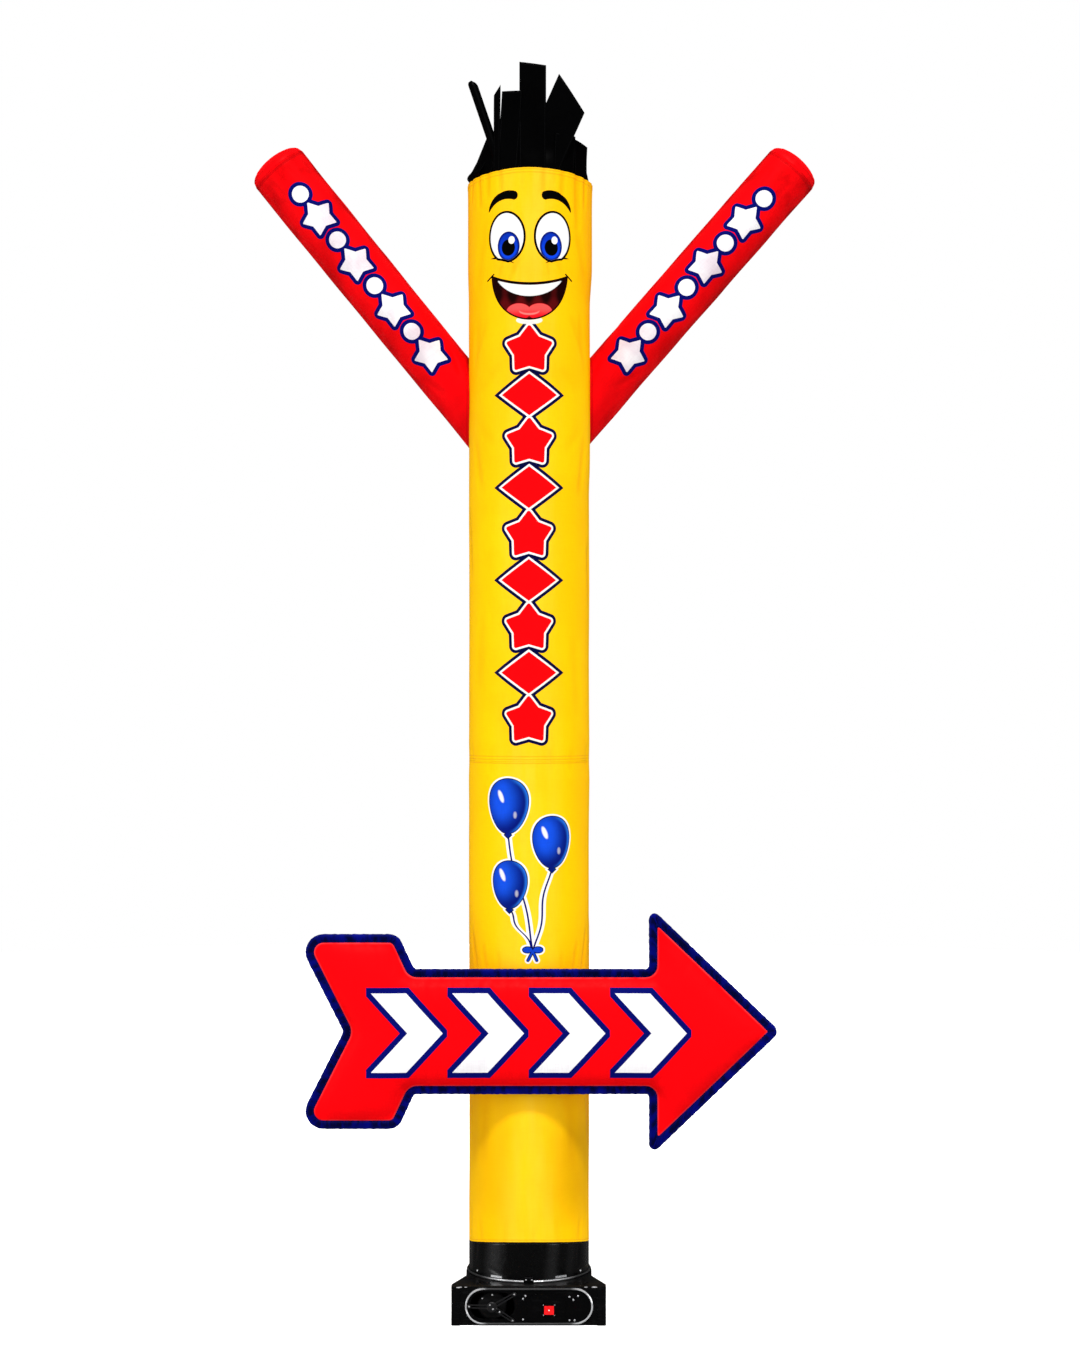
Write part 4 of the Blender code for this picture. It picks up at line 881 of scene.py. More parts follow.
def mixed(share, a, b, blend="MIX"):
    node = addNode(share.tree, "Mix", data_type="RGBA", blend_type=blend)
    for place, value in ((0, share), (6, a), (7, b)):
        feed(share.tree, node.inputs[place], value)
    return Wire(share.tree, node.outputs[2])


def shaded(share, colour, tint):
    # the colour multiplied by a tint, so that a dark print stays dark
    return mixed(share, colour, tint, "MULTIPLY")


def painted(colour, *layers):
    # each layer is a mask and the colour that goes on there, the lowest first
    for share, paint in layers:
        colour = mixed(share, colour, paint)
    return colour


def noise(where, scale, detail=2.0, rough=0.5, stretch=None):
    tree = where.tree
    if stretch:
        where = Wire(tree, addNode(tree, "Mapping", ("Vector", where), ("Scale", stretch)).outputs[0])
    inputs = (("Vector", where), ("Scale", scale), ("Detail", detail), ("Roughness", rough))
    return Wire(tree, addNode(tree, "TexNoise", *inputs).outputs["Fac"])


def flatPlace(x, y):
    return Wire(x.tree, addNode(x.tree, "CombineXYZ", ("X", x), ("Y", y)).outputs[0])


def threeParts(vector):
    return [Wire(vector.tree, part) for part in addNode(vector.tree, "SeparateXYZ", (0, vector)).outputs]


colourSockets = ("colour", "ground", "fill", "line", "edge")


def newGroup(name, results, **inputs):
    tree = bpy.data.node_groups.new(name, "ShaderNodeTree")
    for way, labels in (("INPUT", inputs), ("OUTPUT", results)):
        for label in labels:
            kind = "Vector" if label == "place" else "Color" if label in colourSockets else "Float"
            socket = tree.interface.new_socket(label, in_out=way, socket_type="NodeSocket" + kind)
            if way == "INPUT":
                socket.default_value = (*inputs[label], 1.0) if kind == "Color" else inputs[label]
    start, end = tree.nodes.new("NodeGroupInput"), tree.nodes.new("NodeGroupOutput")
    return tree, {s.name: Wire(tree, s) for s in start.outputs if s.name}, end


def closeGroup(tree, end, **results):
    for label, value in results.items():
        feed(tree, end.inputs[label], value)
    return tree


def using(group, **inputs):
    tree = treeOf(inputs.values())
    node = addNode(tree, "Group", node_tree=group)
    for label, value in inputs.items():
        feed(tree, node.inputs[label], value)
    return {s.name: Wire(tree, s) for s in node.outputs}


def makeOvalForm():
    tree, given, end = newGroup(
        "ovalForm", ["distance"], u=0.0, v=0.0, centreU=0.0, centreV=0.0, halfU=0.05, halfV=0.05
    )
    du, dv = given["u"] - given["centreU"], given["v"] - given["centreV"]
    a, b = du / given["halfU"], dv / given["halfV"]
    share = root(a * a + b * b)
    c, d = a / given["halfU"], b / given["halfV"]
    return closeGroup(tree, end, distance=share * (share - 1.0) / root(c * c + d * d + 1e-6))


def makeStarForm():
    # a five-pointed star: the plane is folded about its axes, then one straight side is left
    tree, given, end = newGroup("starForm", ["distance"], u=0.0, v=0.0, radius=0.05, waist=0.46)
    cosine, sine = math.cos(math.radians(36)), math.sin(math.radians(36))
    x, y = abs(given["u"]), given["v"]
    for sign in (1, -1):
        dot = higher(x * (sign * cosine) + y * -sine, 0.0) * 2.0
        x = x - dot * (sign * cosine)
        y = y - dot * -sine
    x = abs(x)
    y = y - given["radius"]
    sideX, sideY = given["waist"] * sine, given["waist"] * cosine - 1.0
    long = sideX * sideX + sideY * sideY
    t = lower(higher((x * sideX + y * sideY) / long, 0.0), given["radius"])
    restX, restY = x - sideX * t, y - sideY * t
    size = root(restX * restX + restY * restY)
    side = calc("SIGN", y * sideX - x * sideY)
    return closeGroup(tree, end, distance=size * side)


def makeDiamondForm():
    tree, given, end = newGroup("diamondForm", ["distance"], u=0.0, v=0.0, halfU=0.04, halfV=0.05)
    hu, hv = given["halfU"], given["halfV"]
    share = abs(given["u"]) / hu + abs(given["v"]) / hv - 1.0
    return closeGroup(tree, end, distance=share * hu * hv / root(hu * hu + hv * hv))


def makeStrapForm():
    tree, given, end = newGroup(
        "strapForm", ["distance"], u=0.0, v=0.0, startU=0.0, startV=0.0, endU=0.1, endV=0.0, half=0.01
    )
    du, dv = given["u"] - given["startU"], given["v"] - given["startV"]
    ru, rv = given["endU"] - given["startU"], given["endV"] - given["startV"]
    t = lower(higher((du * ru + dv * rv) / (ru * ru + rv * rv), 0.0), 1.0)
    a, b = du - ru * t, dv - rv * t
    return closeGroup(tree, end, distance=root(a * a + b * b) - given["half"])


def makeInkLayers():
    # a fill, a line round it and an edge round that, printed over a ground
    tree, given, end = newGroup(
        "inkLayers", ["colour"], distance=0.0, ground=(1, 1, 0), fill=(1, 0, 0), line=(1, 1, 1),
        edge=(0, 0, 0.2), lineWidth=0.004, edgeWidth=0.005
    )
    distance = given["distance"]
    outer = distance - given["lineWidth"]
    colour = painted(
        given["ground"], (within(outer - given["edgeWidth"]), given["edge"]), (within(outer), given["line"]),
        (within(distance), given["fill"]),
    )
    return closeGroup(tree, end, colour=colour)


def makeNylonWeave():
    # fine plain weave with a thicker thread every few millimetres
    tree, given, end = newGroup("nylonWeave", ["height", "fleck"], u=0.0, v=0.0, pitch=0.0011, ripPitch=0.0064)
    turn = 2 * math.pi
    u, v = given["u"] / given["pitch"] * turn, given["v"] / given["pitch"] * turn
    height = calc("SINE", u) * calc("SINE", v) * 0.5 + 0.5
    waves = (calc("COSINE", given[along] / given["ripPitch"] * turn) for along in ("u", "v"))
    rip = higher(*(ramp(wave, 0.93, 1.0) for wave in waves))
    flat = flatPlace(given["u"], given["v"])
    threads = noise(flat, 240.0, 2.0, 0.6, (1.0, 0.12, 1.0))
    threads = threads + noise(flat, 240.0, 2.0, 0.6, (0.12, 1.0, 1.0))
    return closeGroup(tree, end, height=height * 0.6 + rip * 0.4, fleck=threads * 0.5)


def makeThreadRow():
    # a row of stitches at a set distance from a seam
    tree, given, end = newGroup(
        "threadRow", ["thread", "dip"], run=0.0, away=1.0, offset=0.006, pitch=0.0036, width=0.0011
    )
    wave = calc("SINE", given["run"] / given["pitch"] * (2 * math.pi))
    off = abs(given["away"] - given["offset"])
    row = within(off - given["width"] * 0.5, 0.0003)
    thread = row * ramp(wave, -0.55, -0.15)
    return closeGroup(tree, end, thread=thread, dip=ramp(off, given["width"] * 2.4, 0.0))


def makeSoftMottle():
    # broad soft patches and long faint streaks, as in dyed and handled cloth
    tree, given, end = newGroup("softMottle", ["tone", "fine"], place=(0.0, 0.0, 0.0), size=0.18, streak=0.5)
    scale = 1.0 / given["size"]
    patches = noise(given["place"], scale, 3.0, 0.55)
    streaks = noise(given["place"], scale * 2.5, 2.0, 0.5, (1.0, 1.0, 0.14))
    tone = patches + (streaks - 0.5) * given["streak"]
    return closeGroup(tree, end, tone=tone, fine=noise(given["place"], 90.0, 3.0, 0.6))


def makeMouldedGrain():
    # fine spark grain, faint scuffs and settled dust on top faces
    tree, given, end = newGroup(
        "mouldedGrain", ["height", "scuffs", "dust"], place=(0.0, 0.0, 0.0), grain=900.0, scuff=26.0
    )
    normal = Wire(tree, addNode(tree, "NewGeometry").outputs["Normal"])
    up = ramp(threeParts(normal)[2], 0.4, 1.0)
    scuffs = ramp(noise(given["place"], given["scuff"], 5.0, 0.65, (1.0, 1.0, 3.5)), 0.52, 0.72)
    dust = up * ramp(noise(given["place"], 18.0, 4.0, 0.6), 0.35, 0.75)
    return closeGroup(
        tree, end, height=noise(given["place"], given["grain"], 2.0, 0.6), scuffs=scuffs, dust=dust
    )


ovalForm, starForm, diamondForm, strapForm = makeOvalForm(), makeStarForm(), makeDiamondForm(), makeStrapForm()
inkLayers, nylonWeave, threadRow = makeInkLayers(), makeNylonWeave(), makeThreadRow()
softMottle, mouldedGrain = makeSoftMottle(), makeMouldedGrain()


def newLook(name):
    look = bpy.data.materials.new(name)
    look.use_nodes = True
    return look, look.node_tree, look.node_tree.nodes["Principled BSDF"]


def mapPair(tree, label):
    return threeParts(Wire(tree, addNode(tree, "UVMap", uv_map=label).outputs[0]))[:2]


def objectPlace(tree):
    return Wire(tree, addNode(tree, "TexCoord").outputs["Object"])


def addBump(tree, shader, *layers):
    # layers of (height, distance in metres)
    before = []
    for height, distance in layers:
        node = addNode(tree, "Bump", ("Distance", distance), ("Height", height), *before)
        before = [("Normal", Wire(tree, node.outputs[0]))]
    feed(tree, shader.inputs["Normal"], before[0][1])


cloth = {           # each colour of cloth has its shade and the colour of its threads
    "yellow": (0.97, 0.550, 0.0012), "yellowShade": (0.92, 0.72, 0.40), "yellowThread": (0.93, 0.44, 0.01),
    "red": (0.86, 0.0008, 0.003), "redShade": (0.62, 0.40, 0.50), "redThread": (0.50, 0.002, 0.004),
    "navy": (0.0008, 0.003, 0.12), "navyShade": (0.40, 0.35, 0.32), "navyThread": (0.004, 0.008, 0.12),
    "hair": (0.0007, 0.0007, 0.0008), "hairShade": (0.5, 0.5, 0.5), "hairThread": (0.006, 0.006, 0.0065),
    "cuff": (0.0007, 0.0007, 0.0008), "cuffShade": (0.5, 0.5, 0.5), "cuffThread": (0.016, 0.016, 0.017),
    "yellowPaintedSheen": (0.97, 0.572, 0.020), "white": (0.80, 0.80, 0.81), "ink": (0.0010, 0.0010, 0.0010),
    "roughness": 0.46, "gloss": 0.02, "weave": 0.00003,
}


def finishCloth(tree, shader, colour, kind, seams, tint, roughness=cloth["roughness"], weave=cloth["weave"]):
    # Tone, weave, stitches and sheen that every cloth has. The colour may already carry a print, and the
    # seams are the distances of its rows of stitches from its edges.
    shade = cloth[kind + "Shade"]
    u, v = mapPair(tree, "cloth")
    run, away = mapPair(tree, "seam")
    mottle = using(softMottle, place=objectPlace(tree))
    threads = using(nylonWeave, u=u, v=v)
    tone = ramp(mottle["tone"], 0.62, 0.30) * tint
    colour = shaded(tone, colour, shade)
    colour = shaded(ramp(threads["fleck"], 0.42, 0.62) * 0.10, colour, shade)
    thread = None
    for offset in seams:
        row = using(threadRow, run=run, away=away, offset=offset)
        # painted shade in the dip along each row of stitches
        colour = shaded(row["dip"] * 0.45, colour, shade)
        colour = mixed(row["thread"], colour, cloth[kind + "Thread"])
        lift = row["thread"] - row["dip"] * 0.8
        thread = lift if thread is None else thread + lift
    feed(tree, shader.inputs["Base Color"], colour)
    feed(tree, shader.inputs["Roughness"], ramp(mottle["fine"], 0.25, 0.75, roughness - 0.05, roughness + 0.06))
    layers = [(threads["height"], weave), (mottle["fine"], weave * 8)]
    if thread is not None:
        layers.append((thread, 0.0005))
    addBump(tree, shader, *layers)
    shader.inputs["Specular IOR Level"].default_value = cloth["gloss"]


column = {          # the red motifs down the front
    "low": 1.446, "pitch": 0.1156, "count": 9, "starRadius": 0.0560, "starWaist": 0.64, "starDrop": 0.0040,
    "diamond": (0.0630, 0.0460), "round": 0.0050, "lineWidth": 0.0050, "edgeWidth": 0.0078,
    "red": (0.84, 0.0010, 0.003), "edge": (0.0008, 0.002, 0.040),
}
face = {            # a plain smiling face. Places are (u, v), eyes and brows given from the middle outwards
    "eye": (0.0592, 2.7072, 0.0440, 0.0594), "iris": (0.0534, 2.6835, 0.0287, 0.0366),
    "pupil": (0.0536, 2.6800, 0.0172, 0.0204), "spark": (0.0085, 0.0185, 0.0080, 0.0096),
    "brow": ((0.0382, 2.8100), (0.0722, 2.8094), (0.1094, 2.7745)), "browHalf": 0.0110,
    "cheek": ((0.0385, 2.6405), (0.0699, 2.6531), (0.1035, 2.6550)), "cheekHalf": 0.0023,
    "mouth": (2.6100, 0.0975, 0.1070), "lipLow": 2.5888, "lipCurve": 2.04,
    "teeth": (2.6653, 0.1071), "teethRound": 0.007,
    "dimple": ((0.0940, 2.6160), (0.1140, 2.6010)), "dimpleHalf": 0.0019,
    "tongue": (0.0270, 2.5200, 0.0310, 0.0200), "chin": (2.4985, 0.0330, 0.0105),
    "outline": 0.0038, "eyeLine": 0.0056, "toothLine": 0.0012, "irisLine": 0.0022,
    "gleam": ((2.5215, 0.0250, 0.0100), (2.5275, 0.0290, 0.0120)),
    "gleamColour": (0.90, 0.36, 0.33), "whiteShade": (0.50, 0.50, 0.60), "toothShade": (0.50, 0.50, 0.56),
    "irisColour": (0.003, 0.050, 0.72), "irisRim": (0.001, 0.008, 0.16),
    "mouthColour": (0.085, 0.002, 0.003), "mouthDark": (0.010, 0.0005, 0.0005),
    "tongueColour": (0.68, 0.075, 0.075), "tongueDark": (0.72, 0.008, 0.016),
}


def nearestOf(steps, count):
    # distance, in steps, to the nearest of a row of places 0, 1, 2 ...
    return steps - lower(higher(calc("ROUND", steps), 0.0), count - 1.0)


def printColumn(u, v, ground):
    # fat stars and wide diamonds in turn, so close that their edges run together
    c = column
    twice = 2 * c["pitch"]
    starPlace, diamondPlace = (
        nearestOf((v - c["low"] - c["pitch"] * first) / twice, count) * twice
        for first, count in ((0.5, (c["count"] + 1) // 2), (1.5, c["count"] // 2))
    )
    starPlace = starPlace + c["starDrop"]
    halfU, halfV = c["diamond"]
    star = using(starForm, u=u, v=starPlace, radius=c["starRadius"], waist=c["starWaist"])["distance"]
    diamond = using(diamondForm, u=u, v=diamondPlace, halfU=halfU, halfV=halfV)["distance"]
    distance = lower(star, diamond) - c["round"]
    return using(
        inkLayers, distance=distance, ground=ground, fill=c["red"], line=cloth["white"], edge=c["edge"],
        lineWidth=c["lineWidth"], edgeWidth=c["edgeWidth"],
    )["colour"]


def ovalAt(u, v, oval):
    inputs = zip(("centreU", "centreV", "halfU", "halfV"), oval)
    return using(ovalForm, u=u, v=v, **dict(inputs))["distance"]


def circleThrough(p, q, r):
    # centre and radius of the circle through three points
    a, b, c = (Vector(point) for point in (p, q, r))
    ab, ac = b - a, c - a
    twice = 2 * (ab.x * ac.y - ab.y * ac.x)
    x = (ac.y * ab.length_squared - ab.y * ac.length_squared) / twice
    y = (ab.x * ac.length_squared - ac.x * ab.length_squared) / twice
    return a.x + x, a.y + y, math.hypot(x, y)


def arcAt(u, v, points):
    # distance from a circle through three points, and how far below its middle a point lies
    centreU, centreV, radius = circleThrough(*points)
    return ovalAt(u, v, (centreU, centreV, radius, radius)), centreV - v


def printFace(u, v, ground):
    f = face
    white, ink = cloth["white"], cloth["ink"]
    aside = abs(u)
    side = calc("SIGN", u)
    # eyes, cut off below by a smiling cheek
    cheek, underCheek = arcAt(aside, v, f["cheek"])
    eye = higher(ovalAt(aside, v, f["eye"]), -cheek)
    irisOval = ovalAt(aside, v, f["iris"])
    iris = higher(irisOval, eye)
    pupil = higher(ovalAt(aside, v, f["pupil"]), eye)
    sparkOval = (0.0, 0.0, *f["spark"][2:])
    spark = ovalAt(u - side * f["pupil"][0] - f["spark"][0], v - f["pupil"][1] - f["spark"][1], sparkOval)
    fromEnd = lower(aside - f["cheek"][0][0], f["cheek"][2][0] - aside)
    cheekLine = abs(cheek) - ramp(fromEnd, -0.004, 0.014) * f["cheekHalf"]
    cheekLine = higher(higher(cheekLine, -fromEnd), underCheek)
    # brows, thick and round at the middle of the face, pointed outside
    inner, outer = f["brow"][0], f["brow"][2]
    share = (aside - inner[0]) / (outer[0] - inner[0])
    taper = root(higher(1.0 - share * share, 0.0))
    browArc, underBrow = arcAt(aside, v, f["brow"])
    browLine = higher(abs(browArc) - taper * f["browHalf"], underBrow)
    browLine = higher(higher(browLine, inner[0] - aside), aside - outer[0])
    brow = lower(browLine, ovalAt(aside, v, (*inner, f["browHalf"] * 0.8, f["browHalf"])))
    # an open laughing mouth
    lip = f["lipLow"] + u * u * f["lipCurve"]
    mouth = higher(ovalAt(u, v, (0.0, *f["mouth"])), (v - lip) * 0.92)
    teethLow = ovalAt(u, v, (0.0, *f["teeth"], f["teeth"][1]))
    teeth = calc("SMOOTH_MAX", teethLow, (v - lip) * 0.92 + f["outline"] * 0.7, f["teethRound"])
    tongue = higher(ovalAt(aside, v, f["tongue"]), mouth + 0.0010)
    chin = higher(ovalAt(u, v, (0.0, *f["chin"])), 0.0010 - mouth)
    (startU, startV), (endU, endV) = f["dimple"]
    dimple = using(
        strapForm, u=aside, v=v, startU=startU, startV=startV, endU=endU, endV=endV, half=f["dimpleHalf"]
    )["distance"]
    folds = calc("COSINE", u * 150.0) * 0.35 + ramp(v, 2.520, 2.565)
    below, above = (ovalAt(u, v, (0.0, *oval)) for oval in f["gleam"])
    gleam = within(higher(below, -above), 0.003)
    tongueTone = mixed(ramp(v, 2.530, 2.508), f["tongueColour"], f["tongueDark"])
    glow = ramp(irisOval, -0.0020, -0.0075) * ramp(v, 2.7100, 2.6650, 0.45, 1.0)
    return painted(
        ground,
        (within(chin, 0.002) * 0.85, white),
        (within(lower(cheekLine, dimple)), ink),
        (within(mouth - f["outline"]), ink),
        (within(mouth), mixed(ramp(folds, 0.25, 1.10), f["mouthColour"], f["mouthDark"])),
        (within(tongue - 0.0008), f["tongueDark"]),
        (within(tongue), mixed(gleam * 0.55, tongueTone, f["gleamColour"])),
        (within(teeth - f["toothLine"]), ink),
        (within(teeth), mixed(ramp(teethLow, -0.010, 0.0) * 0.30, white, f["toothShade"])),
        (within(eye - f["eyeLine"]), ink),
        (within(eye), mixed(ramp(eye, -0.007, 0.0) * 0.22, white, f["whiteShade"])),
        (within(iris), f["irisRim"]),
        (within(irisOval + f["irisLine"], 0.0012) * within(eye), mixed(glow, f["irisRim"], f["irisColour"])),
        (within(pupil), ink), (within(spark), white), (within(brow), ink),
    )


Balloon = namedtuple("Balloon", "u v halfU halfV")
balloons = [Balloon(*row) for row in (
    (-0.0540, 1.2860, 0.0520, 0.0680), (0.0600, 1.1960, 0.0490, 0.0640), (-0.0500, 1.0900, 0.0450, 0.0590),
)]
bundle = {
    "u": 0.0100, "v": 0.9250, "outline": 0.0022, "halo": 0.0062, "string": 0.0022,
    "line": (0.001, 0.003, 0.045), "lit": (0.006, 0.070, 0.66), "deep": (0.001, 0.008, 0.17),
    "rim": (0.020, 0.190, 0.85), "bow": (0.004, 0.045, 0.50),
    "narrow": 2.6, "knot": (0.009, 0.008), "sway": 0.030, "loop": (0.012, 0.0070), "loopPlace": (0.013, 0.003),
    "tails": (-0.012, 0.010), "tailEnd": 0.9020, "lightFrom": (-0.016, 0.016), "shineLean": 0.35,
    "shine": (-0.011, 0.024, 0.0062, 0.0150), "faint": (0.019, -0.022, 0.0040, 0.0080),     # from each middle
}


def printBalloons(u, v, ground):
    # three blue balloons on strings that meet in a bow
    p, white, forms, strings, loops, tails = bundle, cloth["white"], [], [], [], []
    knotU, knotV = p["knot"]
    for i, b in enumerate(balloons):
        oval = ovalAt((u - b.u) * (1.0 + (b.v - v) * p["narrow"]) + b.u, v, b)
        knot = using(diamondForm, u=u - b.u, v=v - (b.v - b.halfV - knotV / 2), halfU=knotU, halfV=knotV)
        t = (v - p["v"]) / (b.v - b.halfV - p["v"])
        wave = calc("SINE", t * (5.5 + i)) * t * (1.0 - t) * p["sway"]
        string = abs(u - p["u"] - (b.u - p["u"]) * t - wave) * 0.93 - p["string"]
        strings.append(higher(string, higher(-t, t - 1.0) * 0.1))
        forms.append((lower(oval, knot["distance"]), oval, b))
    for side, tail in zip((-1, 1), p["tails"]):
        aside, up = p["loopPlace"]
        loops.append(ovalAt(u, v, (p["u"] + side * aside, p["v"] + up, *p["loop"])))
        ends = {"startU": p["u"], "startV": p["v"], "endU": p["u"] + tail, "endV": p["tailEnd"]}
        tails.append(using(strapForm, u=u, v=v, half=p["string"], **ends)["distance"])
    bow = lower(lower(*loops), lower(*tails))
    whole = [lower(form[0], string) for form, string in zip(forms, strings)]
    every = lower(functools.reduce(lower, whole), bow)
    colour = painted(ground, (within(every - p["halo"]), white))
    colour = painted(colour, *((within(string), cloth["navy"]) for string in strings))
    for form, oval, b in reversed(forms):
        left, up = p["lightFrom"]
        lit = ramp(ovalAt(u, v, (b.u + left, b.v + up, b.halfU, b.halfV)), -0.040, 0.012)
        edge = ramp(oval, -0.010, 0.0) * ramp(u - b.u, 0.0, 0.030)
        blue = painted(mixed(lit, p["lit"], p["deep"]), (edge * 0.7, p["rim"]))
        # a bright spot above, a faint one below
        lean, (shineU, shineV, *shineHalf), (faintU, faintV, *faintHalf) = p["shineLean"], p["shine"], p["faint"]
        shine = ovalAt(u + v * lean, v, (b.u + b.v * lean + shineU, b.v + shineV, *shineHalf))
        faint = ovalAt(u, v, (b.u + faintU, b.v + faintV, *faintHalf))
        colour = painted(
            colour, (within(form - p["outline"]), p["line"]), (within(form), blue),
            (within(shine, 0.004) * 0.92, white), (within(faint, 0.004) * 0.45, white),
        )
    return painted(colour, (within(bow - p["outline"]), p["line"]), (within(bow), p["bow"]))


def whiteOnNavy(distance, ground, edgeWidth):
    return using(
        inkLayers, distance=distance, ground=ground, fill=cloth["white"], line=cloth["white"],
        edge=cloth["navy"], lineWidth=0.0, edgeWidth=edgeWidth,
    )["colour"]


armPrint = {
    "low": 0.110, "pitch": 0.150, "count": 4, "starRadius": 0.0440, "starWaist": 0.60, "round": 0.002,
    "discRadius": 0.0215, "edgeWidth": 0.0105,
}


def printArm(u, v, ground):
    # stars with a disc between them, in a row along the sleeve
    a = armPrint
    steps = (v - a["low"]) / a["pitch"]
    starPlace, discPlace = (nearestOf(steps - first, a["count"]) * a["pitch"] for first in (0.25, 0.75))
    star = using(starForm, u=u, v=starPlace, radius=a["starRadius"], waist=a["starWaist"])["distance"]
    disc = root(u * u + discPlace * discPlace) - a["discRadius"]
    return whiteOnNavy(lower(star - a["round"], disc), ground, a["edgeWidth"])


chevrons = {
    "low": -0.402, "pitch": 0.201, "count": 4, "tip": 0.089, "wide": 0.087, "slant": 0.92, "high": 0.098,
    "edgeWidth": 0.0140,
}


def printArrow(u, v, ground):
    c = chevrons
    steps = (u - c["low"]) / c["pitch"]
    index = calc("FLOOR", steps)
    local = (steps - index - 0.5) * c["pitch"]
    # a band that slants back from the tip to each side, cut off straight along the arrow
    lean = local + abs(v) * c["slant"] - c["tip"]
    distance = (abs(lean + c["wide"] / 2) - c["wide"] / 2) / math.hypot(1.0, c["slant"])
    outside = abs(index - (c["count"] - 1) / 2) - c["count"] / 2
    distance = higher(distance, abs(v) - c["high"]) + higher(outside, 0.0) * 10.0
    return whiteOnNavy(distance, ground, c["edgeWidth"])


def makePaintedSheenStreaks():
    # a painted sheen on a tube's front: most in the middle, in long uneven streaks
    tree, given, end = newGroup("paintedSheenStreaks", ["share"], u=0.0, v=0.0, reach=0.11, size=0.05)
    flat = flatPlace(given["u"] / given["size"], given["v"] / (given["size"] * 7.0))
    streaks = ramp(noise(flat, 1.0, 3.0, 0.55), 0.34, 0.66)
    middle = ramp(abs(given["u"]) / given["reach"], 1.0, 0.15)
    return closeGroup(tree, end, share=middle * (streaks * 0.75 + 0.25))


paintedSheenStreaks = makePaintedSheenStreaks()


def yellowWithPaintedSheen(u, v):
    shine = using(paintedSheenStreaks, u=u, v=v)
    return mixed(shine["share"], cloth["yellow"], cloth["yellowPaintedSheen"])


def paintFoldShade(colour, tint):
    # painted shade: the colour is darker where the cloth folds in, by the share of depth each point keeps
    fold = Wire(colour.tree, addNode(colour.tree, "Attribute", attribute_name="fold").outputs["Fac"])
    return shaded(fold * paintedFoldShade["share"], colour, tint)


# painted shade: the yellow is a little deeper towards the head
upperPaintedShade = {"rise": (1.90, 2.65), "tint": (1.0, 0.93, 1.0)}        # a little deeper towards the head


def makeUpperLook():
    look, tree, shader = newLook("yellowClothUpper")
    u, v = mapPair(tree, "cloth")
    yellow = shaded(ramp(v, *upperPaintedShade["rise"]), yellowWithPaintedSheen(u, v), upperPaintedShade["tint"])
    colour = paintFoldShade(printFace(u, v, printColumn(u, v, yellow)), paintedFoldShade["tint"])
    finishCloth(tree, shader, colour, "yellow", (0.0045, 0.0120), 0.26)
    return look


shadeForm = {       # ramps: from, to, and the values there
    "low": (0.190, 0.330), "arrow": (0.640, 0.590), "mid": (0.54, 0.43, 0.25, 1.0),
    "right": ((0.0, 0.130), (0.290, 0.130, 0.0, 0.72)), "left": ((0.0, -0.110), (-0.230, -0.140)),
    "leftShare": 0.42, "tint": (0.62, 0.55, 0.45),
}


def makeLowerLook():
    look, tree, shader = newLook("yellowClothLower")
    u, v = mapPair(tree, "cloth")
    colour = paintFoldShade(printBalloons(u, v, yellowWithPaintedSheen(u, v)), paintedFoldShade["tint"])
    # the arrow keeps the light off both sides of the cloth below it
    f = shadeForm
    below = ramp(v, *f["low"]) * ramp(v, *f["arrow"]) * ramp(v, *f["mid"])
    right = ramp(u, *f["right"][0]) * ramp(u, *f["right"][1])
    left = ramp(u, *f["left"][0]) * f["leftShare"] * ramp(u, *f["left"][1])
    colour = shaded(below * (right + left), colour, f["tint"])
    finishCloth(tree, shader, colour, "yellow", (0.0045,), 0.26)
    return look


armPaintedShade = {
    "size": 24.0, "squash": 0.6, "sides": (0.052, 0.098), "fade": (0.112, 0.150), "end": (0.672, 0.700),
    "sideShadeTint": (0.50, 0.30, 0.30), "endShadeTint": (0.55, 0.30, 0.30),
}


def makeArmLook():
    look, tree, shader = newLook("redClothArm")
    u, v = mapPair(tree, "cloth")
    # painted shade: darker patches along the sides and round the far end
    patches = ramp(noise(flatPlace(u, v * armPaintedShade["squash"]), armPaintedShade["size"], 3.0, 0.55), 0.42, 0.62)
    aside = abs(u)
    sides = ramp(aside, *armPaintedShade["sides"]) * (1.0 - ramp(aside, *armPaintedShade["fade"]) * 0.75)
    red = shaded(sides * (patches * 0.45 + 0.30), cloth["red"], armPaintedShade["sideShadeTint"])
    red = shaded(ramp(v, *armPaintedShade["end"]) * (patches * 0.4 + 0.12), red, armPaintedShade["endShadeTint"])
    printed = printArm(u, v, paintFoldShade(red, paintedFoldShade["redShadeTint"]))
    finishCloth(tree, shader, printed, "red", (0.0060, 0.0095), 0.6)
    return look


def makePlainLook(name, kind, seams, tint, **finish):
    look, tree, shader = newLook(name)
    finishCloth(tree, shader, cloth[kind], kind, seams, tint, **finish)
    return look


arrowTone = {"seamHighlight": (0.0085, 0.0020), "seamHighlightShare": 0.32, "seamHighlightColour": (0.86, 0.14, 0.16), "turn": 0.0004}


def makeArrowLook():
    look, tree, shader = newLook("redClothArrow")
    u, v = mapPair(tree, "cloth")
    away = mapPair(tree, "seam")[1]
    # the back is plain
    position = Wire(tree, addNode(tree, "NewGeometry").outputs["Position"])
    seam, turn = arrowForm["y"], arrowTone["turn"]
    backHalf = ramp(threeParts(position)[1], seam - turn, seam + turn)
    colour = mixed(backHalf, printArrow(u, v, cloth["red"]), cloth["red"])
    # painted highlight: paler in uneven patches along the cloth near the seam
    wornAndHighlight = ramp(away, *arrowTone["seamHighlight"]) * ramp(noise(objectPlace(tree), 22.0, 3.0, 0.6), 0.25, 0.60)
    colour = mixed(wornAndHighlight * arrowTone["seamHighlightShare"], colour, arrowTone["seamHighlightColour"])
    finishCloth(tree, shader, colour, "red", (0.0022,), 0.10)
    return look


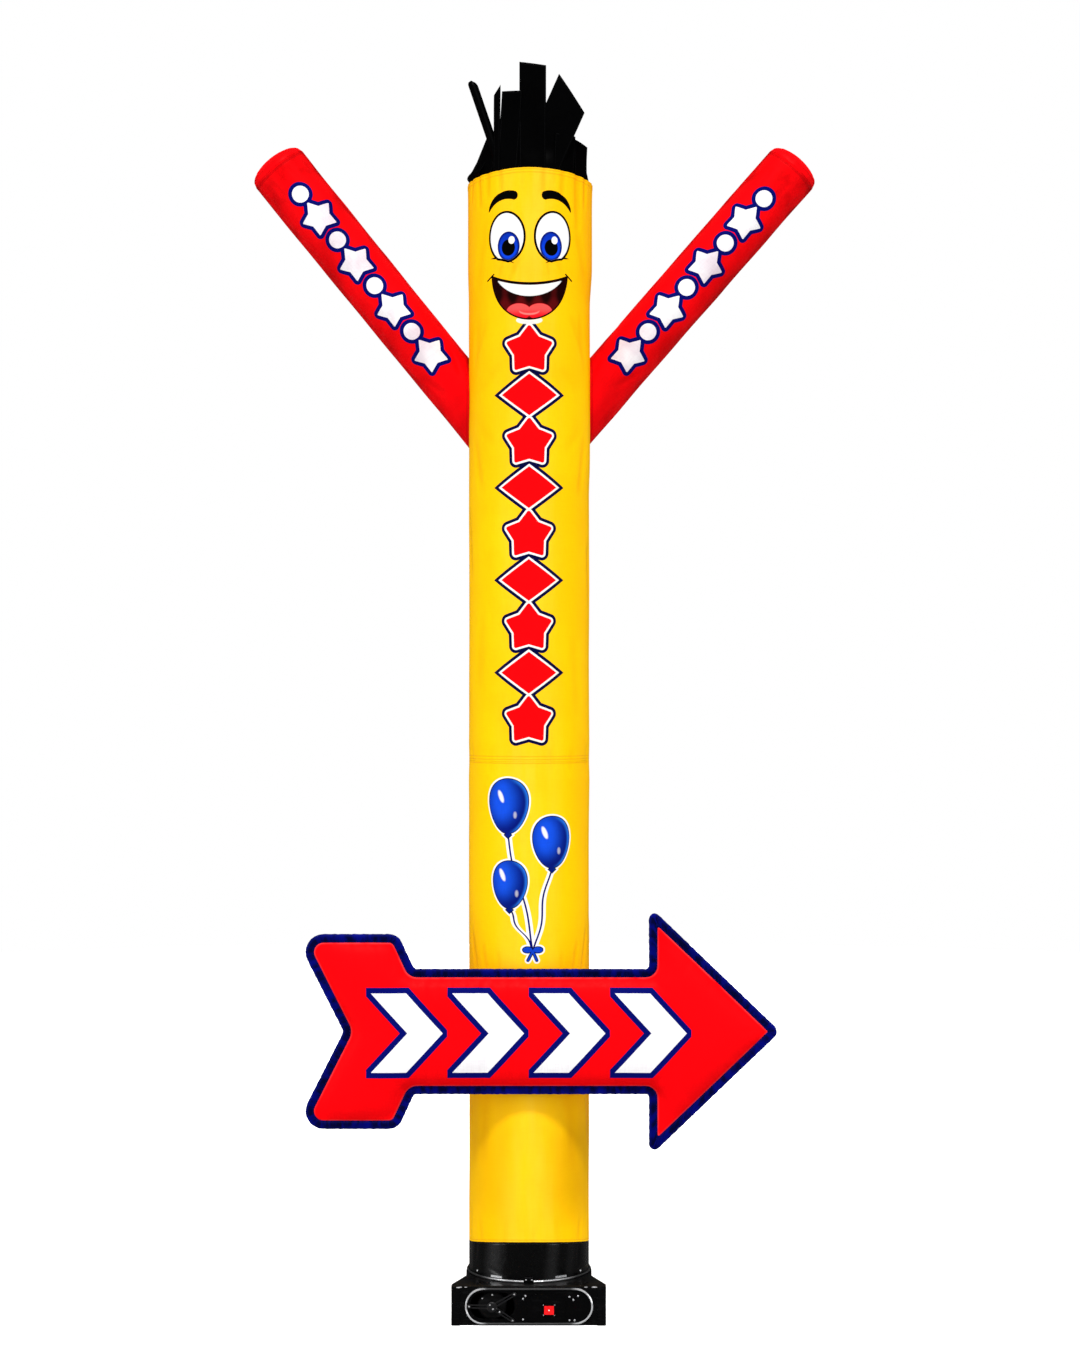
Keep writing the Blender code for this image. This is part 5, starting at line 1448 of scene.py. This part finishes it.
bindingPaintedSheen = {
    "dark": (0.0003, 0.0008, 0.028), "blue": (0.0004, 0.0015, 0.130), "inner": (0.003, 0.008, 0.26),
    "innerFrom": (0.0125, 0.0200), "size": 46.0, "squash": 0.4,
}


def makeBindingLook():
    look, tree, shader = newLook("navyBinding")
    run, away = mapPair(tree, "seam")
    b = bindingPaintedSheen
    # painted highlights and shade: dark and bright bands along the edging; it is also lighter towards its outer
    # fold
    bands = ramp(noise(flatPlace(run, away * b["squash"]), b["size"], 3.0, 0.55), 0.40, 0.62)
    colour = mixed(bands, b["dark"], b["blue"])
    colour = mixed(ramp(away, *b["innerFrom"]) * 0.30, colour, b["inner"])
    finishCloth(tree, shader, colour, "navy", (0.0035,), 0.5)
    return look


# painted sheen: lighter bands round the black cuff, with its gloss
cuffPaintedSheen = {
    "bands": (      # middle and half width along the cuff's girth, tone
        (-0.096, 0.040, 0.0190), (0.060, 0.026, 0.0075), (0.118, 0.024, 0.0050), (0.200, 0.035, 0.0080),
        (-0.210, 0.035, 0.0100), (0.330, 0.045, 0.0120), (-0.350, 0.045, 0.0090),
    ),
    "lean": 0.12, "middle": 0.15, "specular": 0.42, "roughness": 0.24, "weave": 0.00001,
}


def makeCuffLook():
    look, tree, shader = newLook("blackCuff")
    u, v = mapPair(tree, "cloth")
    colour, c = cloth["cuff"], cuffPaintedSheen
    # painted sheen: each band lightens the black cloth
    for middle, half, tone in c["bands"]:
        band = ramp(abs(u - middle - (v - c["middle"]) * c["lean"]) / half, 1.0, 0.0)
        colour = mixed(band, colour, (tone, tone, tone * 1.03))
    finishCloth(tree, shader, colour, "cuff", (0.0040,), 0.5, roughness=c["roughness"], weave=c["weave"])
    shader.inputs["Specular IOR Level"].default_value = c["specular"]
    return look


plastics = {
    "casing": {"colour": (0.0018, 0.0018, 0.0020), "roughness": 0.26, "specular": 0.16, "grain": 0.00004},
    "gloss": {"colour": (0.0012, 0.0012, 0.0014), "roughness": 0.16, "specular": 0.20, "grain": 0.00002},
    "redRocker": {"colour": (0.80, 0.002, 0.004), "roughness": 0.24, "specular": 0.5, "grain": 0.00003},
    "bracket": {"colour": (0.0080, 0.0080, 0.0088), "roughness": 0.30, "specular": 0.5, "grain": 0.00005},
    "motor": {"colour": (0.0050, 0.0050, 0.0055), "roughness": 0.38, "specular": 0.5, "grain": 0.00008},
}
steel = {"colour": (0.80, 0.81, 0.83), "wornAndHighlight": (0.50, 0.50, 0.52), "metallic": 0.70, "roughness": 0.26}
chrome = {"colour": (0.85, 0.86, 0.88), "wornAndHighlight": (0.60, 0.61, 0.63), "metallic": 0.6, "roughness": 0.16}
# reflectionFade: the distances to each side between which the painted reflection goes from bright to dark, or
# from dark to bright
metals = {
    "brightSteel": steel, "hoopWire": {**steel, "reflectionFade": (0.125, 0.075)},
    "chromeRim": {**chrome, "reflectionFade": (0.100, 0.130)},
}


def makePlasticLook(name, metallic=0.0, marks=(), markColour=(1, 1, 1), depth=0.0):
    # marks are small pale ovals on the front, given by middle and half size across and up
    values = plastics[name]
    look, tree, shader = newLook(name)
    place = objectPlace(tree)
    grain = using(mouldedGrain, place=place)
    pale = tuple(min(1.0, c * 2.0 + 0.006) for c in values["colour"])
    colour = mixed(grain["scuffs"] * 0.30, values["colour"], pale)
    across, back, up = threeParts(place)
    for mark in marks:
        dot = higher(ovalAt(across, up, mark), back - depth)
        colour = mixed(within(dot, 0.001), colour, markColour)
    colour = mixed(grain["dust"] * 0.05, colour, (0.10, 0.095, 0.09))
    feed(tree, shader.inputs["Base Color"], colour)
    feed(tree, shader.inputs["Roughness"], values["roughness"] + grain["scuffs"] * 0.12 + grain["dust"] * 0.20)
    shader.inputs["Specular IOR Level"].default_value = values["specular"]
    shader.inputs["Metallic"].default_value = metallic
    addBump(tree, shader, (grain["height"], values["grain"]), (grain["scuffs"], 0.00004))
    return look


def makeMetalLook(name):
    values = metals[name]
    look, tree, shader = newLook(name)
    grain = using(mouldedGrain, place=objectPlace(tree), grain=1500.0, scuff=60.0)
    colour = mixed(grain["scuffs"], values["colour"], values["wornAndHighlight"])
    if "reflectionFade" in values:
        # painted reflection: bright round the rim's bends and in the middle of the hoop, dark along the rim's
        # straight runs and at the hoop's sides
        bend = ramp(abs(threeParts(objectPlace(tree))[0] - 0.0008), *values["reflectionFade"])
        colour = shaded(1.0 - bend, colour, (0.10, 0.10, 0.10))
    feed(tree, shader.inputs["Base Color"], colour)
    feed(tree, shader.inputs["Roughness"], grain["scuffs"] * 0.14 + values["roughness"])
    shader.inputs["Metallic"].default_value = values["metallic"]
    addBump(tree, shader, (grain["height"], 0.00003))
    return look


# painted highlights: small pale glints on the casing's front top edge
scuffs = ((-0.1725, 0.0953, 0.0068, 0.0013), (0.1630, 0.0953, 0.0068, 0.0013), (0.1420, 0.0953, 0.0040, 0.0008),
          (-0.1560, 0.0953, 0.0030, 0.0008))

looks = {
    "upper": makeUpperLook(), "lower": makeLowerLook(), "arm": makeArmLook(),
    "cap": makePlainLook("redClothCap", "red", (0.0040,), 0.5),
    "arrow": makeArrowLook(), "binding": makeBindingLook(),
    "hair": makePlainLook("blackHair", "hair", (0.0030,), 0.6, roughness=0.40), "cuff": makeCuffLook(),
    "casing": makePlasticLook("casing", 0.0, scuffs, (0.45, 0.45, 0.46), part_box("blower_casing")[0].y + 0.006),
    "gloss": makePlasticLook("gloss"),
    "redRocker": makePlasticLook("redRocker", 0.0, ((0.0504, 0.0400, 0.0016, 0.0016),), (0.90, 0.72, 0.66)),
    "bracket": makePlasticLook("bracket"), "motor": makePlasticLook("motor", 0.3),
    "steel": makeMetalLook("brightSteel"), "chrome": makeMetalLook("chromeRim"),
    "wire": makeMetalLook("hoopWire"),
}
print("materials:", len(looks))

holes = [armholeCurve(arm, -0.0016) for arm in arms]
upperCloth = makeBodyLength(
    "upperBody", bodyForm["seam"] + 0.0002, bodyForm["rim"], 168, looks["upper"], holes, bodyForm["hem"],
    bodyForm["rimDip"],
)
lowerCloth = makeBodyLength(
    "lowerBody", bodyForm["cuffTop"], bodyForm["seam"] - 0.0002, 140, looks["lower"], wave=True
)
armCreases = creaseTable(
    (30, 60, 55, 130, 12, 2), (-40, 50, -60, 115, 11, 1.8), (85, 100, 105, 160, 10, 2),
    (-90, 130, -108, 190, 10, 2), (100, 250, 86, 305, 11, 1.8), (-98, 300, -85, 350, 11, 1.8),
    (96, 400, 108, 450, 11, 2), (-104, 460, -90, 520, 11, 1.8), (90, 560, 104, 620, 11, 1.8),
    (-92, 610, -104, 660, 11, 1.8), (180, 120, 160, 220, 13, 2.2), (-170, 180, -190, 280, 13, 2.2),
    (200, 420, 180, 540, 13, 2.2), (20, 745, 24, 690, 8, 1.2), (75, 745, 70, 680, 8.5, 1.5),
    (-35, 745, -38, 695, 8, 1.2), (-85, 745, -80, 685, 8.5, 1.5), (130, 745, 135, 690, 8.5, 1.5),
    (-140, 745, -146, 690, 8.5, 1.5), (190, 745, 186, 690, 8.5, 1.5), (-195, 745, -200, 690, 8.5, 1.5),
)
pieces = [
    (upperCloth, "tube_upper", "yellow_cloth"), (lowerCloth, "tube_lower", "yellow_cloth"),
    *((makeSleeve(arm, looks["arm"], armCreases), f"arm_{arm.side.lower()}", "red_cloth") for arm in arms),
    *((makeCap(arm, looks["cap"]), f"arm_{arm.side.lower()}_cap", "red_cloth") for arm in arms),
    (makeArrow(looks["arrow"]), "arrow_cushion", "red_cloth"),
    (makeBinding(looks["binding"]), "arrow_binding", "navy_cloth"),
    (makeHair(looks["hair"]), "hair", "black_cloth"), (makeCuff(looks["cuff"]), "cuff", "black_cloth"),
]
for piece, node, slotName in pieces:
    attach(piece, body)
    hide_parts(node)
    print("cloth:", piece.name, len(piece.data.polygons), "faces")


Fastening = namedtuple("Fastening", "x z on back radius")
# small fastenings: across, up, the node each sits on, how far back from that node's front, radius
fastenings = [Fastening(*row) for row in (
    (-0.0885, 0.0430, "motor_bracket", 0.0, 0.0022), (-0.0960, 0.0530, "motor_bracket", 0.0, 0.0020),
    (-0.0722, 0.0349, "motor_bracket", 0.0040, 0.0022), (-0.1480, 0.0490, "motor_bracket", 0.0030, 0.0022),
    (-0.0356, 0.0790, "motor_bracket", 0.0030, 0.0022), (-0.0398, 0.0138, "motor_bracket", 0.0030, 0.0022),
    (-0.0904, 0.0768, "motor", 0.0, 0.0020), (-0.1150, 0.0680, "motor", 0.0, 0.0018),
    (0.0366, 0.0523, "switch_housing", 0.0, 0.0013), (0.0642, 0.0523, "switch_housing", 0.0, 0.0013),
    (0.0366, 0.0271, "switch_housing", 0.0, 0.0013), (0.0642, 0.0271, "switch_housing", 0.0, 0.0013),
    (-0.0065, 0.1066, "hoop_clasp", 0.0, 0.0018), (0.0077, 0.1066, "hoop_clasp", 0.0, 0.0018),
)]
# from a screw's rim at the back to the hollow in its middle: share of its radius, height
screwSection = (
    (1.0, 0.0), (1.0, 0.28), (0.93, 0.48), (0.78, 0.62), (0.55, 0.70), (0.42, 0.71), (0.36, 0.62),
    (0.32, 0.36), (0.16, 0.30),
)


def makeFastening(index, f, look):
    # a turned pan head with a small hollow in its middle
    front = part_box(f.on)[0].y + f.back + 0.0002
    steps, last = 20, len(screwSection) - 1
    points = [
        (f.x + f.radius * r * math.cos(2 * math.pi * k / steps), front - f.radius * h,
         f.z + f.radius * r * math.sin(2 * math.pi * k / steps)) for r, h in screwSection for k in range(steps)
    ]
    faces = [tuple(range(steps - 1, -1, -1))] + gridFaces(last + 1, steps, closed=True)[0].tolist()
    faces.append(tuple(range(last * steps, (last + 1) * steps)))
    return newMesh(f"smallScrew{index}", points, faces, look, sharp=50)


for index, fastening in enumerate(fastenings, 1):
    screw = makeFastening(index, fastening, looks["steel"])
    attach(screw, body)
print("small screws:", len(fastenings))

# flat sizes: girth of the tube or sleeve by its length
sheets = (
    ("tube_upper", (girth, 1.484), "stretched", ("tube_lower",), None),
    ("tube_lower", (girth, 1.210), "stretched", ("cuff",), None),
    ("cuff", (girth, 0.093), "stretched", ("blower_casing",), None),
    ("arm_left", (0.468, 0.755), "stretched", ("tube_upper",), None),
    ("arm_right", (0.456, 0.775), "stretched", ("tube_upper",), None),
    ("arm_left_cap", (0.176, 0.176), "stretched", ("arm_left",), 0.0243),
    ("arm_right_cap", (0.170, 0.170), "stretched", ("arm_right",), 0.0227),
    ("hair", (girth, 0.291), "gathered", ("tube_upper",), hairArea()),
)

finishes = {
    "casing": ("blower_casing", "cable_gland"),
    "gloss": ("fascia", "hoop_clasp", "switch_plate", "switch_housing"),
    "redRocker": ("rocker",), "bracket": ("motor_bracket",), "motor": ("motor",),
    "chrome": ("fascia_rim",),
    "wire": ("hoop",),
    "steel": ("keeper_left", "keeper_right", "stud_left", "stud_right",
              *(f"fascia_screw_{i}" for i in range(1, 9))),
}
carried = {o.name: o for o in bpy.data.objects if o.type == "MESH"}
for lookName, nodes in finishes.items():
    for node in nodes:
        piece = carried[node]
        for materialSlot in piece.material_slots:
            materialSlot.link = "OBJECT"
            materialSlot.material = looks[lookName]

light = {
    "ambient": 0.56, "frontal": 0.45, "mirrored": 0.03, "key": 2.65, "keyTilt": (32, 0, 6), "keySize": 9.0,
    "lamps": {      # power, size, place and where it is aimed
        "sideLeft": (38.0, (1.2, 3.2), (-3.45, -1.8, 1.5), (0.0, 0.0, 1.3)),
        "sideRight": (21.0, (0.6, 3.2), (3.1, -2.7, 1.5), (0.0, 0.0, 1.3)),
        "overhead": (4.0, (2.6, 0.35), (0.0, -1.35, 4.3), (0.0, -0.2, 0.1)),
        "behind": (60.0, (2.0, 3.0), (0.0, 4.2, 2.0), (0.0, 0.0, 1.5)),
    },
}

key = newObject("key", bpy.data.lights.new("key", "SUN"))
key.data.energy = light["key"]
key.data.angle = math.radians(light["keySize"])
key.rotation_euler = [math.radians(a) for a in light["keyTilt"]]
for name, (power, size, place, aim) in light["lamps"].items():
    lamp = newObject(name, bpy.data.lights.new(name, "AREA"))
    lamp.data.shape = "RECTANGLE"
    lamp.data.size, lamp.data.size_y = size
    lamp.data.energy = power
    lamp.location = place
    lamp.rotation_euler = (Vector(aim) - Vector(place)).to_track_quat("-Z", "Y").to_euler()
    lamp.visible_camera = False
    lamp.visible_glossy = name != "behind"      # kept off the flat black top of the casing


def rayMasks(tree):
    # 1 for what the camera sees itself, and for what mirrors show
    path = addNode(tree, "LightPath")
    return Wire(tree, path.outputs["Is Camera Ray"]), Wire(tree, path.outputs["Is Glossy Ray"])


world = bpy.data.worlds.new("studio")
bpy.context.scene.world = world
world.use_nodes = True
tree = world.node_tree
seen, glossy = rayMasks(tree)
heading = threeParts(Wire(tree, addNode(tree, "TexCoord").outputs["Generated"]))
towardsFront = higher(-heading[1], 0.0)
soft = (towardsFront * light["frontal"] + light["ambient"]) * (1.0 - seen) * (1.0 - glossy)
background = tree.nodes["Background"]
feed(tree, background.inputs["Strength"], soft + seen + glossy * light["mirrored"])
background.inputs["Color"].default_value = (1.0, 1.0, 1.0, 1.0)

ground = {"radius": 9, "sides": 96, "tone": (0.80, 0.84), "glow": 0.72, "roughness": 0.6}
look, tree, shader = newLook("paleFloor")
seen, glossy = rayMasks(tree)
tone = ramp(noise(objectPlace(tree), 3.0, 3.0, 0.5), 0.2, 0.8, *ground["tone"])
feed(tree, shader.inputs["Base Color"], tone * (1.0 - glossy * 0.9) * (seen * 0.4 + 0.6))
feed(tree, shader.inputs["Emission Strength"], seen * ground["glow"])
shader.inputs["Emission Color"].default_value = (1, 1, 1, 1)
shader.inputs["Roughness"].default_value = ground["roughness"]
shader.inputs["Specular IOR Level"].default_value = 0.0
turns = [2 * math.pi * i / ground["sides"] for i in range(ground["sides"])]
ring = [(ground["radius"] * math.cos(a), ground["radius"] * math.sin(a), 0.0) for a in turns]
floor = newMesh("floor", ring, [tuple(range(ground["sides"]))], look)
bpy.context.scene.view_settings.view_transform = "Standard"
